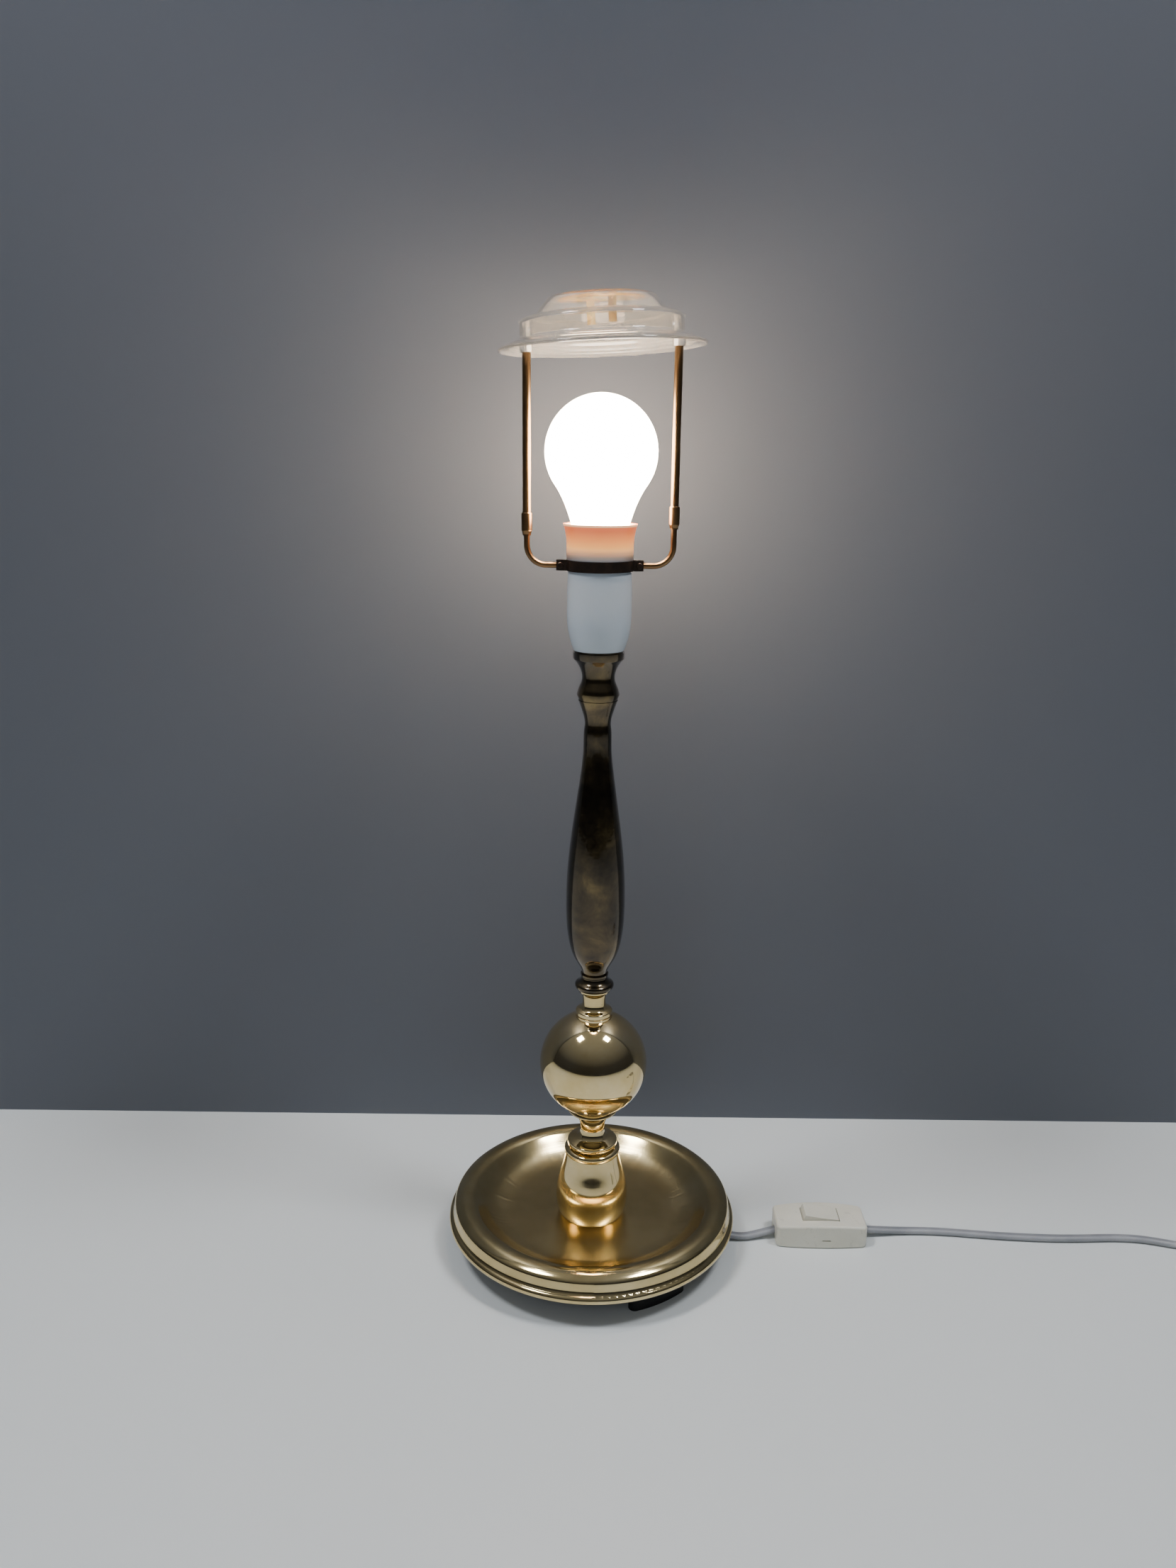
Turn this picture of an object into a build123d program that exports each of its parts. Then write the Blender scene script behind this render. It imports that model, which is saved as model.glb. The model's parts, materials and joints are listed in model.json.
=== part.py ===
"""Brass table lamp: weighted dish base, ball and baluster column, E27 lampholder, two-arm shade carrier,
screw bulb and a twin-core cord with an inline rocker switch. Millimetres, +Z up. The origin is on the table
under the column's axis; the viewer stands on the -Y side and the cord leaves on the +X side."""

from build123d import *
from math import cos, pi, radians, sin, sqrt, tan
import os

os.makedirs("parts", exist_ok=True)

# ---------------------------------------------------------------- driving dimensions
# Base
foot_height = 13.0
foot_width = 7.0
foot_arc = 24.0  # degrees that each foot spans
foot_first_angle = -58.0
foot_count = 3
dish_radius = 88.1
dish_bead = 2.5
dish_sheet = 1.0
dish_depth = 16.2  # crest over the rim's lower edge
dish_floor_rise = 2.5
dish_floor_radius = 58.0
dish_crest_width = 12.4  # rim to crest
dish_crest_round = 9.0
dish_shoulder_drop = 3.4
cover_sheet = 1.2
cover_pan_radius = 58.0
cover_pan_low = 2.8
cover_lip = 5.8
weight_radius = 54.0
weight_bore = 40.0
weight_web = 3.1
weight_slot = 10.0

# Stem, nuts and screws
stem_diameter = 10.0
stem_bore = 8.0
stem_clearance = 0.2
nut_height = 3.0
nut_flats = 14.0
washer_thickness = 1.2
stem_end_past_nut = 0.4
screw_diameter = 3.0
cover_screw_diameter = 4.0
cover_screw_circle = 37.0
screw_clearance = 0.15

# Pedestal, ball and column
bell_height = 41.3
bell_radius = 22.0
bell_neck_radius = 16.0
bell_wall = 1.2
pedestal_ring_height = 4.2
pedestal_ring_radius = 16.95
lower_spool_height = 23.9  # up to the ball's seat
lower_spool_radius = 15.1
lower_spool_neck = 7.45
ball_radius = 32.2
ball_wall = 1.2
seat_gap = 0.1
upper_spool_radius = 10.9
upper_spool_neck = 6.9
upper_spool_top_radius = 9.3
upper_spool_height = 17.6  # ball's seat edge to the top face
foot_ring_height = 10.0
foot_ring_radius = 11.4
column_length = 191.0
column_belly_radius = 17.1
column_foot_radius = 7.2
column_waist_radius = 7.75
column_ridge_radius = 12.0
column_throat_radius = 9.15
column_collar_radius = 14.3
column_wall = 1.2
holder_washer_thickness = 1.0

# Lampholder
holder_height = 42.8
holder_radius = 17.7
holder_foot_radius = 13.9
holder_wall = 2.0
skirt_thread_radius = 15.7
skirt_thread_length = 12.0
skirt_wall = 1.4
skirt_height = 19.0
skirt_radius = 18.1
skirt_lip_radius = 20.1
band_seat_radius = 17.3
thread_clearance = 0.15
shell_radius = 13.95
shell_sheet = 0.5
shell_height = 24.0
insert_thickness = 10.0

# Shade frame
band_height = 5.6
band_sheet = 0.8
band_gap = 0.3
band_tab_reach = 23.6
arm_diameter = 3.2
arm_spacing = 79.0
arm_bend = 10.5
arm_length = 84.0  # from the band's middle to the arm's tip
tube_diameter = 4.45
tube_bore = 3.5
tube_length = 88.0
tube_foot_height = 22.6  # tube's foot over the arm's level run
collet_diameter = 5.8
collet_length = 12.0
collet_taper = 4.4
collet_seat = 7.0
carrier_tilt = 2.9  # degrees: the left tube is clamped lower than the right one
carrier_radius = 54.4
carrier_wall = 1.8
carrier_seat_radius = 42.8  # straight wall that a shade's ring drops over
carrier_shoulder_radius = 35.3
carrier_top_radius = 28.0
carrier_height = 25.8
carrier_brim_drop = 5.6
carrier_shoulder_height = 17.2
carrier_lid_radius = 24.5
carrier_lid_lip = 0.9
carrier_leg = (4.3, 1.4, 12.7)
carrier_leg_places = ((-5.5, 10.0), (5.5, -10.0))
boss_radius = 3.4
boss_pin_radius = 1.3
boss_pin_length = 8.0

# Bulb
bulb_radius = 30.0
bulb_length = 109.0
bulb_glass = 1.0
bulb_neck_radius = 12.4
bulb_cap_radius = 13.1
bulb_cap_length = 21.0
bulb_cap_sheet = 0.5
bulb_foot_rise = 26.2  # bulb's foot over the holder's foot

# Cord, switch and plug
cord_width = 5.4
cord_thickness = 3.4
cord_bend_in_base = 6.5
cord_rest_height = 1.75
cord_exit_height = 7.6
switch_length = 56.0
switch_width = 27.0
switch_end_width = 23.6
switch_height = 13.4
switch_crown = 1.9
switch_split_height = 5.0
switch_wall = 1.6
switch_place = (143.0, 0.7)
rocker_length = 22.6
rocker_width = 13.0
rocker_tilt = 8.0
rocker_clearance = 0.35
plug_length = 36.0
plug_thickness = 13.7
plug_width = 26.0
plug_neck_width = 13.0
plug_place = (382.0, -104.0)
plug_neck_length = 12.0
pin_spacing = 19.0
pin_length = 19.0
pin_diameter = 4.0
pin_sleeve_length = 10.0
pin_sleeve_wall = 0.55
pin_sleeve_step = 0.25  # the sleeve is this much slimmer than the bare tip
coil_centre = (408.0, -50.0)
coil_mean_radius = 30.3
coil_width = 16.2
coil_height = 10.4

# ---------------------------------------------------------------- levels and fits worked out from them
stem_radius = stem_diameter / 2
stem_hole = stem_radius + stem_clearance
dish_low = foot_height + cover_sheet + 0.8
bead_middle = dish_low + dish_bead
dish_floor = dish_low + dish_floor_rise
dish_crest = dish_low + dish_depth
cover_radius = dish_radius - 2 * dish_bead - 0.5
weight_top = dish_floor - dish_sheet
weight_low = cover_pan_low + cover_sheet
web_low = weight_top - weight_web
base_nut_top = web_low - washer_thickness
base_nut_low = base_nut_top - nut_height
stem_low = base_nut_low - stem_end_past_nut

bell_top = dish_floor + bell_height
pedestal_ring_top = bell_top + pedestal_ring_height
seat_low = pedestal_ring_top + lower_spool_height
ball_middle = seat_low + seat_gap + ball_radius
seat_radius = ball_radius + seat_gap
upper_spool_low = ball_middle + sqrt(seat_radius**2 - upper_spool_radius**2)
foot_ring_low = upper_spool_low + upper_spool_height
column_low = foot_ring_low + foot_ring_height
column_top = column_low + column_length
holder_low = column_top + holder_washer_thickness
holder_top = holder_low + holder_height
band_low = holder_top + band_gap
band_middle = band_low + band_height / 2
skirt_low = band_low + band_height + band_gap
skirt_top = skirt_low + skirt_height
stem_top = holder_low + 6.0
holder_nut_low = holder_low + holder_wall

bulb_foot = holder_low + bulb_foot_rise
bulb_middle = bulb_foot + bulb_length - bulb_radius
cap_low = bulb_foot + 4.0
cap_top = cap_low + bulb_cap_length
shell_low = bulb_foot - 2.6
insert_top = shell_low
insert_low = insert_top - insert_thickness

arm_reach = arm_spacing / 2
arm_top = band_middle + arm_length
tube_foot = band_middle + tube_foot_height
tube_top = tube_foot + tube_length
tilt_step = arm_reach * tan(radians(carrier_tilt))  # how far each tube stands off the mean height
carrier_low = tube_top + 0.15
cord_exit = cover_pan_radius + 6.0


def finish(piece, name):
    """Labels a finished piece and writes it as its own file."""
    piece.part.label = name
    export_step(piece.part, f"parts/{name}.step")


def turned(outline, plane=Plane.XZ, axis=Axis.Z):
    """A body of revolution from a closed outline of straight runs, given as (radius, height) points."""
    with BuildPart() as piece:
        with BuildSketch(plane):
            with BuildLine():
                Polyline(outline, close=True)
            make_face()
        revolve(axis=axis)
    return piece


def collar(inner, outer, low, high):
    """A plain ring or tube about the lamp's axis."""
    return turned([(inner, low), (outer, low), (outer, high), (inner, high)])


def ring_points(count, radius, first_angle):
    """Evenly spread points on a circle about the lamp's axis."""
    turns = [radians(first_angle + 360 * i / count) for i in range(count)]
    return [(radius * cos(t), radius * sin(t)) for t in turns]


# ---------------------------------------------------------------- base
# Spun dish: flat floor, a rise to a broad rounded crest, outer wall and a rolled bead.
wall_top_radius = dish_radius - dish_bead - 1.2
crest_rounding = 0.2 * dish_crest_round  # what the rounding takes off the crest's corner
with BuildPart() as base_dish:
    with BuildSketch(Plane.XZ):
        with BuildLine():
            FilletPolyline(
                (stem_hole, dish_floor),
                (dish_floor_radius, dish_floor),
                (dish_radius - dish_crest_width, dish_crest + crest_rounding),
                (wall_top_radius, dish_crest - dish_shoulder_drop),
                (dish_radius - dish_bead + 0.6, bead_middle),
                radius=[22, dish_crest_round, 3.2],
            )
            offset(amount=dish_sheet, side=Side.RIGHT)
        make_face()
        with Locations((dish_radius - dish_bead, bead_middle)):
            Circle(dish_bead)
    revolve(axis=Axis.Z)
finish(base_dish, "base_dish")

# Iron weight: clamped by its thin web, with a slot for the cord and tapped holes for the cover.
weight_bore_radius = weight_bore / 2
with BuildPart() as base_weight:
    with BuildSketch(Plane.XZ):
        with BuildLine():
            Polyline(
                (stem_hole, web_low),
                (weight_bore_radius, web_low),
                (weight_bore_radius, weight_low),
                (weight_radius, weight_low),
                (weight_radius, weight_top),
                (stem_hole, weight_top),
                close=True,
            )
        make_face()
    revolve(axis=Axis.Z)
    with BuildSketch(Plane.XY.offset(weight_low)):
        with Locations((weight_radius / 2, 0)):
            Rectangle(weight_radius + 4, weight_slot)
    extrude(amount=cord_exit_height - weight_low + cord_thickness / 2 + 0.7, mode=Mode.SUBTRACT)
    with BuildSketch(Plane.XY.offset(weight_low)):
        with Locations(*ring_points(3, cover_screw_circle, 30)):
            Circle(cover_screw_diameter / 2)
    extrude(amount=7.0, mode=Mode.SUBTRACT)
    # a cast edge radius outside
    chamfer(base_weight.edges().filter_by(GeomType.CIRCLE).group_by(SortBy.RADIUS)[-1], length=1.0)
finish(base_weight, "base_weight")

# Black pan: a flange inside the dish's rim, a shallow pan under the weight, and a lip.
lip_top = foot_height + cover_lip
with BuildPart() as bottom_cover:
    with BuildSketch(Plane.XZ):
        with BuildLine():
            Polyline(
                (0, cover_pan_low),
                (cover_pan_radius, cover_pan_low),
                (cover_pan_radius, foot_height),
                (cover_radius, foot_height),
                (cover_radius, lip_top),
                (cover_radius - cover_sheet, lip_top),
                (cover_radius - cover_sheet, foot_height + cover_sheet),
                (cover_pan_radius - cover_sheet, foot_height + cover_sheet),
                (cover_pan_radius - cover_sheet, weight_low),
                (0, weight_low),
                close=True,
            )
        make_face()
    revolve(axis=Axis.Z)
    with BuildSketch(Plane.XY):
        with Locations(*ring_points(3, cover_screw_circle, 30)):
            Circle(cover_screw_diameter / 2 + screw_clearance)
        with Locations(*ring_points(foot_count, cover_radius - 9.6, foot_first_angle)):
            Circle(screw_diameter / 2 + screw_clearance)
    extrude(amount=foot_height + 2 * cover_sheet, mode=Mode.SUBTRACT)
    with BuildSketch(Plane.YZ.offset(cover_pan_radius - 4)):
        with Locations((0, cord_exit_height)):
            SlotOverall(cord_width + 2.6, cord_thickness + 2.6)
    extrude(amount=8, mode=Mode.SUBTRACT)
finish(bottom_cover, "bottom_cover")

# Three arc feet, each with a counterbored screw hole, and their screws and nuts.
foot_middle = cover_radius - 9.6
foot_places = ring_points(foot_count, foot_middle, foot_first_angle)
foot_head = 3.0
with BuildPart() as foot_pads:
    with BuildSketch(Plane.XY):
        for number in range(foot_count):
            angle = foot_first_angle + 360 * number / foot_count
            with BuildLine():
                CenterArc((0, 0), foot_middle, angle - foot_arc / 2, foot_arc)
                offset(amount=foot_width / 2)
            make_face()
    extrude(amount=foot_height)
    with BuildSketch(Plane.XY):
        with Locations(*foot_places):
            Circle(screw_diameter / 2 + screw_clearance)
    extrude(amount=foot_height, mode=Mode.SUBTRACT)
    with BuildSketch(Plane.XY):
        with Locations(*foot_places):
            Circle(foot_width / 2 - 0.8 + 0.4)
    extrude(amount=foot_head, mode=Mode.SUBTRACT)
finish(foot_pads, "foot_pads")

with BuildPart() as foot_screws:
    with BuildSketch(Plane.XY.offset(foot_head)):
        with Locations(*foot_places):
            Circle(screw_diameter / 2)
    extrude(amount=foot_height + cover_sheet + 3.0 - foot_head)
    with BuildSketch(Plane.XY.offset(foot_head)):
        with Locations(*foot_places):
            Circle(foot_width / 2 - 0.8)
    extrude(amount=-1.6)
finish(foot_screws, "foot_screws")

with BuildPart() as foot_nuts:
    with BuildSketch(Plane.XY.offset(foot_height + cover_sheet)):
        with Locations(*foot_places):
            RegularPolygon(radius=3.2, side_count=6)
            Circle(screw_diameter / 2, mode=Mode.SUBTRACT)
    extrude(amount=2.2)
finish(foot_nuts, "foot_nuts")

with BuildPart() as cover_screws:
    with BuildSketch(Plane.XY.offset(cover_pan_low)):
        with Locations(*ring_points(3, cover_screw_circle, 30)):
            Circle(cover_screw_diameter / 2)
    extrude(amount=cover_sheet + 6.0)
    with BuildSketch(Plane.XY.offset(cover_pan_low)):
        with Locations(*ring_points(3, cover_screw_circle, 30)):
            Circle(cover_screw_diameter * 0.9)
    extrude(amount=-2.0)
finish(cover_screws, "cover_screws")

# The hollow threaded stem runs from under the weight up into the lampholder and clamps the whole column.
stem_rod = collar(stem_bore / 2, stem_radius, stem_low, stem_top)
finish(stem_rod, "stem_rod")
base_washer = collar(stem_hole, nut_flats / 2 + 4, base_nut_top, web_low)
finish(base_washer, "base_washer")


def stem_nut(low):
    """A thin hexagon nut on the stem."""
    with BuildPart() as piece:
        with BuildSketch(Plane.XY.offset(low)):
            RegularPolygon(radius=nut_flats / 2, side_count=6, major_radius=False)
            Circle(stem_radius, mode=Mode.SUBTRACT)
        extrude(amount=nut_height)
    return piece


finish(stem_nut(base_nut_low), "base_nut")

# ---------------------------------------------------------------- pedestal, ball and column
# Hollow bell: a narrow neck that flares to a full belly and turns in a little at the dish.
with BuildPart() as pedestal_bell:
    for shift in (0, bell_wall):
        with BuildSketch(Plane.XZ):
            with BuildLine():
                low, high = dish_floor + shift, bell_top - shift
                side = Spline(
                    (0.88 * bell_radius - shift, low),
                    (bell_radius - shift, dish_floor + 0.3 * bell_height),
                    (0.925 * bell_radius - shift, dish_floor + 0.6 * bell_height),
                    (bell_neck_radius - shift, high),
                    tangents=[(0.5, 1), (-0.2, 1)],
                )
                Polyline(side @ 1, (0, high), (0, low), side @ 0)
            make_face()
        revolve(axis=Axis.Z, mode=Mode.SUBTRACT if shift else Mode.ADD)
    with BuildSketch(Plane.XY.offset(dish_floor)):
        Circle(stem_hole)
    extrude(amount=bell_height, mode=Mode.SUBTRACT)
finish(pedestal_bell, "pedestal_bell")

# A plain stepped ring caps the bell.
ring_step = 1.1
pedestal_ring = turned(
    [
        (stem_hole, bell_top),
        (pedestal_ring_radius - ring_step, bell_top),
        (pedestal_ring_radius, bell_top + ring_step),
        (pedestal_ring_radius, pedestal_ring_top - ring_step),
        (pedestal_ring_radius - ring_step, pedestal_ring_top),
        (stem_hole, pedestal_ring_top),
    ]
)
finish(pedestal_ring, "pedestal_ring")

# Lower spool: flange, waisted neck and a dished cup that the ball sits in.
cup_height = sqrt(seat_radius**2 - (lower_spool_radius - 1.6) ** 2)
cup_edge = ball_middle - cup_height
with BuildPart() as lower_spool:
    with BuildSketch(Plane.XZ):
        with BuildLine():
            flange = FilletPolyline(
                (stem_hole, pedestal_ring_top),
                (lower_spool_radius - 1.4, pedestal_ring_top),
                (lower_spool_radius - 1.4, pedestal_ring_top + 1.8),
                (lower_spool_radius, pedestal_ring_top + 1.8),
                (lower_spool_radius, pedestal_ring_top + 4.6),
                (lower_spool_neck + 2.2, pedestal_ring_top + 6.6),
                radius=[0.2, 0.2, 0.2, 1.0],
            )
            neck = Spline(
                flange @ 1,
                (lower_spool_neck, pedestal_ring_top + 0.6 * lower_spool_height),
                (lower_spool_radius - 0.6, cup_edge - 2.4),
                tangents=[(-1, 0.7), (1, 0.5)],
            )
            lip = Polyline(neck @ 1, (lower_spool_radius, cup_edge - 1.6), (lower_spool_radius - 1.6, cup_edge))
            seat = RadiusArc(lip @ 1, (stem_hole, ball_middle - sqrt(seat_radius**2 - stem_hole**2)), seat_radius)
            Line(seat @ 1, flange @ 0)
        make_face()
    revolve(axis=Axis.Z)
finish(lower_spool, "lower_spool")


def ball_half(name, upward):
    """Half of the hollow ball, bored for the stem at its pole."""
    with BuildPart() as half:
        with BuildSketch(Plane.XZ):
            with Locations((0, ball_middle)):
                Circle(ball_radius)
                Circle(ball_radius - ball_wall, mode=Mode.SUBTRACT)
            with Locations((ball_radius, ball_middle + upward * ball_radius)):
                Rectangle(2 * (ball_radius - stem_hole), 2 * ball_radius, mode=Mode.INTERSECT)
        revolve(axis=Axis.Z)
    finish(half, name)


ball_half("ball_lower_half", -1)
ball_half("ball_upper_half", 1)

# Upper spool: a base that fits the ball, a waisted neck and a thin top flange.
with BuildPart() as upper_spool:
    with BuildSketch(Plane.XZ):
        with BuildLine():
            base = FilletPolyline(
                (upper_spool_radius, upper_spool_low),
                (upper_spool_radius, upper_spool_low + 1.3),
                (upper_spool_radius - 0.7, upper_spool_low + 1.3),
                (upper_spool_radius - 0.7, upper_spool_low + 2.0),
                (upper_spool_radius, upper_spool_low + 2.0),
                (upper_spool_radius, upper_spool_low + 4.2),
                (upper_spool_neck + 1.6, upper_spool_low + 5.4),
                radius=[0.15, 0.15, 0.15, 0.15, 0.8],
            )
            neck = Spline(
                base @ 1,
                (upper_spool_neck, upper_spool_low + 0.63 * upper_spool_height),
                (upper_spool_top_radius - 0.8, foot_ring_low - 1.5),
                tangents=[(-1, 0.8), (1, 1)],
            )
            rim = Polyline(
                neck @ 1,
                (upper_spool_top_radius, foot_ring_low - 1.2),
                (upper_spool_top_radius, foot_ring_low),
                (stem_hole, foot_ring_low),
                (stem_hole, ball_middle + sqrt(seat_radius**2 - stem_hole**2)),
            )
            RadiusArc(rim @ 1, base @ 0, seat_radius)
        make_face()
    revolve(axis=Axis.Z)
finish(upper_spool, "upper_spool")

# Dark foot ring: a rolled edge that draws in to a small neck under the column.
with BuildPart() as column_foot_ring:
    with BuildSketch(Plane.XZ):
        with BuildLine():
            roll = Spline(
                (foot_ring_radius - 2.2, foot_ring_low),
                (foot_ring_radius, foot_ring_low + 0.35 * foot_ring_height),
                (column_foot_radius + 0.5, foot_ring_low + 0.8 * foot_ring_height),
                tangents=[(1, 0.25), (-0.2, 1)],
            )
            Polyline(
                roll @ 1,
                (column_foot_radius + 1.0, foot_ring_low + 0.88 * foot_ring_height),
                (column_foot_radius + 1.0, column_low),
                (stem_hole, column_low),
                (stem_hole, foot_ring_low),
                roll @ 0,
            )
        make_face()
    revolve(axis=Axis.Z)
finish(column_foot_ring, "column_foot_ring")

# Column: one spun shell with a long belly, a slim waist, a sharp ridge, a throat and a collar.
ridge_share = 0.876
collar_edge = column_top - 3.6


def column_outline(wall):
    """The column's side from foot to collar, moved in towards the axis by the wall."""
    # each point is (radius, share of the column's length)
    belly_points = (
        (column_foot_radius, 0),
        (1.2 * column_foot_radius, 0.023),
        (0.585 * column_belly_radius, 0.035),
        (0.7 * column_belly_radius, 0.053),
        (0.79 * column_belly_radius, 0.072),
        (0.9 * column_belly_radius, 0.11),
        (0.97 * column_belly_radius, 0.157),
        (column_belly_radius, 0.249),
        (0.97 * column_belly_radius, 0.33),
        (0.856 * column_belly_radius, 0.438),
        (0.696 * column_belly_radius, 0.544),
        (1.18 * column_waist_radius, 0.649),
        (1.03 * column_waist_radius, 0.717),
        (column_waist_radius, 0.77),
        (1.09 * column_waist_radius, 0.8195),
        (0.87 * column_ridge_radius, 0.853),
        (column_ridge_radius, ridge_share),
    )
    throat_points = (
        (0.91 * column_ridge_radius, 0.895),
        (1.02 * column_throat_radius, 0.916),
        (column_throat_radius, 0.929),
        (1.135 * column_throat_radius, 0.953),
        (0.862 * column_collar_radius, 0.97),
    )
    belly = Spline(
        *[(radius - wall, column_low + share * column_length) for radius, share in belly_points],
        tangents=[(0.2, 1), (0.42, 1)],
    )
    throat = Spline(
        belly @ 1,
        *[(radius - wall, column_low + share * column_length) for radius, share in throat_points],
        (column_collar_radius - wall, collar_edge),
        tangents=[(-0.35, 1), (1, 0.95)],
    )
    return belly, throat


with BuildPart() as column_body:
    for wall in (0, column_wall):
        with BuildSketch(Plane.XZ):
            with BuildLine():
                belly, throat = column_outline(wall)
                top = column_top - wall
                Polyline(throat @ 1, (column_collar_radius - wall, top), (0, top), (0, column_low), belly @ 0)
            make_face()
        revolve(axis=Axis.Z, mode=Mode.SUBTRACT if wall else Mode.ADD)
    with BuildSketch(Plane.XY.offset(column_low)):
        Circle(column_foot_radius - column_wall / 2)
        Circle(stem_hole, mode=Mode.SUBTRACT)
    extrude(amount=column_wall)
    with BuildSketch(Plane.XY.offset(column_low)):
        Circle(stem_hole)
    extrude(amount=column_length, mode=Mode.SUBTRACT)
finish(column_body, "column_body")

holder_washer = collar(stem_hole, holder_foot_radius - 0.4, column_top, holder_low)
finish(holder_washer, "holder_washer")

# ---------------------------------------------------------------- lampholder
# Lower cap: a rounded cup on the stem, threaded inside its mouth for the flared skirt.
with BuildPart() as holder_body:
    with BuildSketch(Plane.XZ):
        with BuildLine():
            side = Spline(
                (holder_foot_radius, holder_low),
                (holder_radius - 0.45, holder_low + 0.29 * holder_height),
                (holder_radius, holder_low + 0.62 * holder_height),
                (holder_radius - 0.35, holder_top - 1.0),
                tangents=[(0.42, 1), (-0.05, 1)],
            )
            mouth = skirt_thread_radius + thread_clearance
            Polyline(
                side @ 1,
                (holder_radius - 1.0, holder_top),
                (mouth, holder_top),
                (mouth, insert_low),
                (mouth - 1.6, insert_low),
                (holder_foot_radius - holder_wall, holder_low + holder_wall),
                (stem_radius, holder_low + holder_wall),
                (stem_radius, holder_low),
                side @ 0,
            )
        make_face()
    revolve(axis=Axis.Z)
finish(holder_body, "holder_body")
finish(stem_nut(holder_nut_low), "holder_nut")

# Terminal block: carries the screw shell, the springy middle contact and two clamping screws.
insert_radius = skirt_thread_radius
lead_hole = 3.0
lead_places = ((-7.0, 0), (7.0, 0))
screw_places = ((0, -9.0), (0, 9.0))
with BuildPart() as holder_insert:
    with BuildSketch(Plane.XY.offset(insert_low)):
        Circle(insert_radius)
        with Locations(*lead_places):
            Circle(lead_hole / 2, mode=Mode.SUBTRACT)
    extrude(amount=insert_thickness)
    with BuildSketch(Plane.XY.offset(insert_low)):
        with Locations(*screw_places):
            Circle(screw_diameter / 2)
    extrude(amount=6.0, mode=Mode.SUBTRACT)
    chamfer(holder_insert.edges().filter_by(GeomType.CIRCLE).group_by(SortBy.RADIUS)[-1], length=0.6)
finish(holder_insert, "holder_insert")

with BuildPart() as terminal_screws:
    with BuildSketch(Plane.XY.offset(insert_low)):
        with Locations(*screw_places):
            Circle(screw_diameter / 2)
    extrude(amount=6.0)
    with BuildSketch(Plane.XY.offset(insert_low)):
        with Locations(*screw_places):
            Circle(screw_diameter * 0.85)
    extrude(amount=-1.8)
finish(terminal_screws, "terminal_screws")

screw_shell = turned(
    [
        (shell_radius - 4.0, shell_low),
        (shell_radius, shell_low),
        (shell_radius, shell_low + shell_height),
        (shell_radius - shell_sheet, shell_low + shell_height),
        (shell_radius - shell_sheet, shell_low + shell_sheet),
        (shell_radius - 4.0, shell_low + shell_sheet),
    ]
)
finish(screw_shell, "screw_shell")

# Contact tongue: riveted at one end and sprung up under the bulb's foot.
tongue_sheet = 0.4
tongue_top = bulb_foot - 0.1
with BuildPart() as center_contact:
    with BuildSketch(Plane.XZ):
        with BuildLine():
            Polyline(
                (5.6, shell_low),
                (2.6, shell_low),
                (-0.6, tongue_top - tongue_sheet),
                (-3.4, tongue_top - tongue_sheet - 0.7),
                (-3.4, tongue_top - 0.7),
                (-0.6, tongue_top),
                (2.7, shell_low + tongue_sheet),
                (5.6, shell_low + tongue_sheet),
                close=True,
            )
        make_face()
    extrude(amount=2.5, both=True)
finish(center_contact, "center_contact")

# Flared skirt: screws into the cap, clamps the shade frame's band and shields the bulb's cap.
skirt_bore = skirt_thread_radius - skirt_wall
with BuildPart() as holder_ring:
    with BuildSketch(Plane.XZ):
        with BuildLine():
            outer = Polyline(
                (skirt_bore, holder_top - skirt_thread_length),
                (skirt_thread_radius, holder_top - skirt_thread_length),
                (skirt_thread_radius, holder_top + 0.02),
                (band_seat_radius, holder_top + 0.02),
                (band_seat_radius, skirt_low),
                (skirt_radius, skirt_low),
                (skirt_radius, skirt_low + 0.3 * skirt_height),
            )
            flare = Spline(
                outer @ 1,
                (skirt_radius + 0.35, skirt_low + 0.65 * skirt_height),
                (skirt_lip_radius, skirt_top),
                tangents=[(0, 1), (0.35, 1)],
            )
            lip = Line(flare @ 1, (skirt_lip_radius - skirt_wall, skirt_top))
            inner = Spline(
                lip @ 1,
                (skirt_radius + 0.35 - skirt_wall, skirt_low + 0.65 * skirt_height),
                (skirt_radius - skirt_wall, skirt_low + 0.3 * skirt_height),
                tangents=[(-0.35, -1), (0, -1)],
            )
            Polyline(
                inner @ 1,
                (skirt_radius - skirt_wall, skirt_low + 1.2),
                (skirt_bore, skirt_low - 0.6),
                (skirt_bore, holder_top - skirt_thread_length),
            )
        make_face()
    revolve(axis=Axis.Z)
finish(holder_ring, "holder_ring")

# ---------------------------------------------------------------- the lead inside the lamp
def cord_tube(points, radii):
    """A flat twin cord, wide side level, along straight runs joined by arcs."""
    with BuildPart() as cord:
        with BuildLine() as route:
            FilletPolyline(*points, radius=radii)
        start = route.wires()[0]
        heading = start % 0
        flat = Vector(0, 1, 0) if abs(heading.Z) > 0.9 else Vector(0, 0, 1).cross(heading)
        with BuildSketch(Plane(origin=start @ 0, x_dir=flat, z_dir=heading)):
            SlotOverall(cord_width, cord_thickness)
        sweep(path=start)
    section = pi * (cord_thickness / 2) ** 2 + (cord_width - cord_thickness) * cord_thickness
    print("cord volume", round(cord.part.volume, 1), "section x length", round(section * start.length, 1))
    return cord


flex_low = weight_low + cord_thickness / 2 + 0.1
flex_top = stem_top + 1.0
inner_flex = cord_tube(
    [
        (0, 0, flex_top),
        (0, 0, flex_low),
        (30, 0, flex_low),
        (46, 0, cord_exit_height),
        (cord_exit, 0, cord_exit_height),
    ],
    [cord_bend_in_base, 100, 100],
)
finish(inner_flex, "inner_flex")

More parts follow.
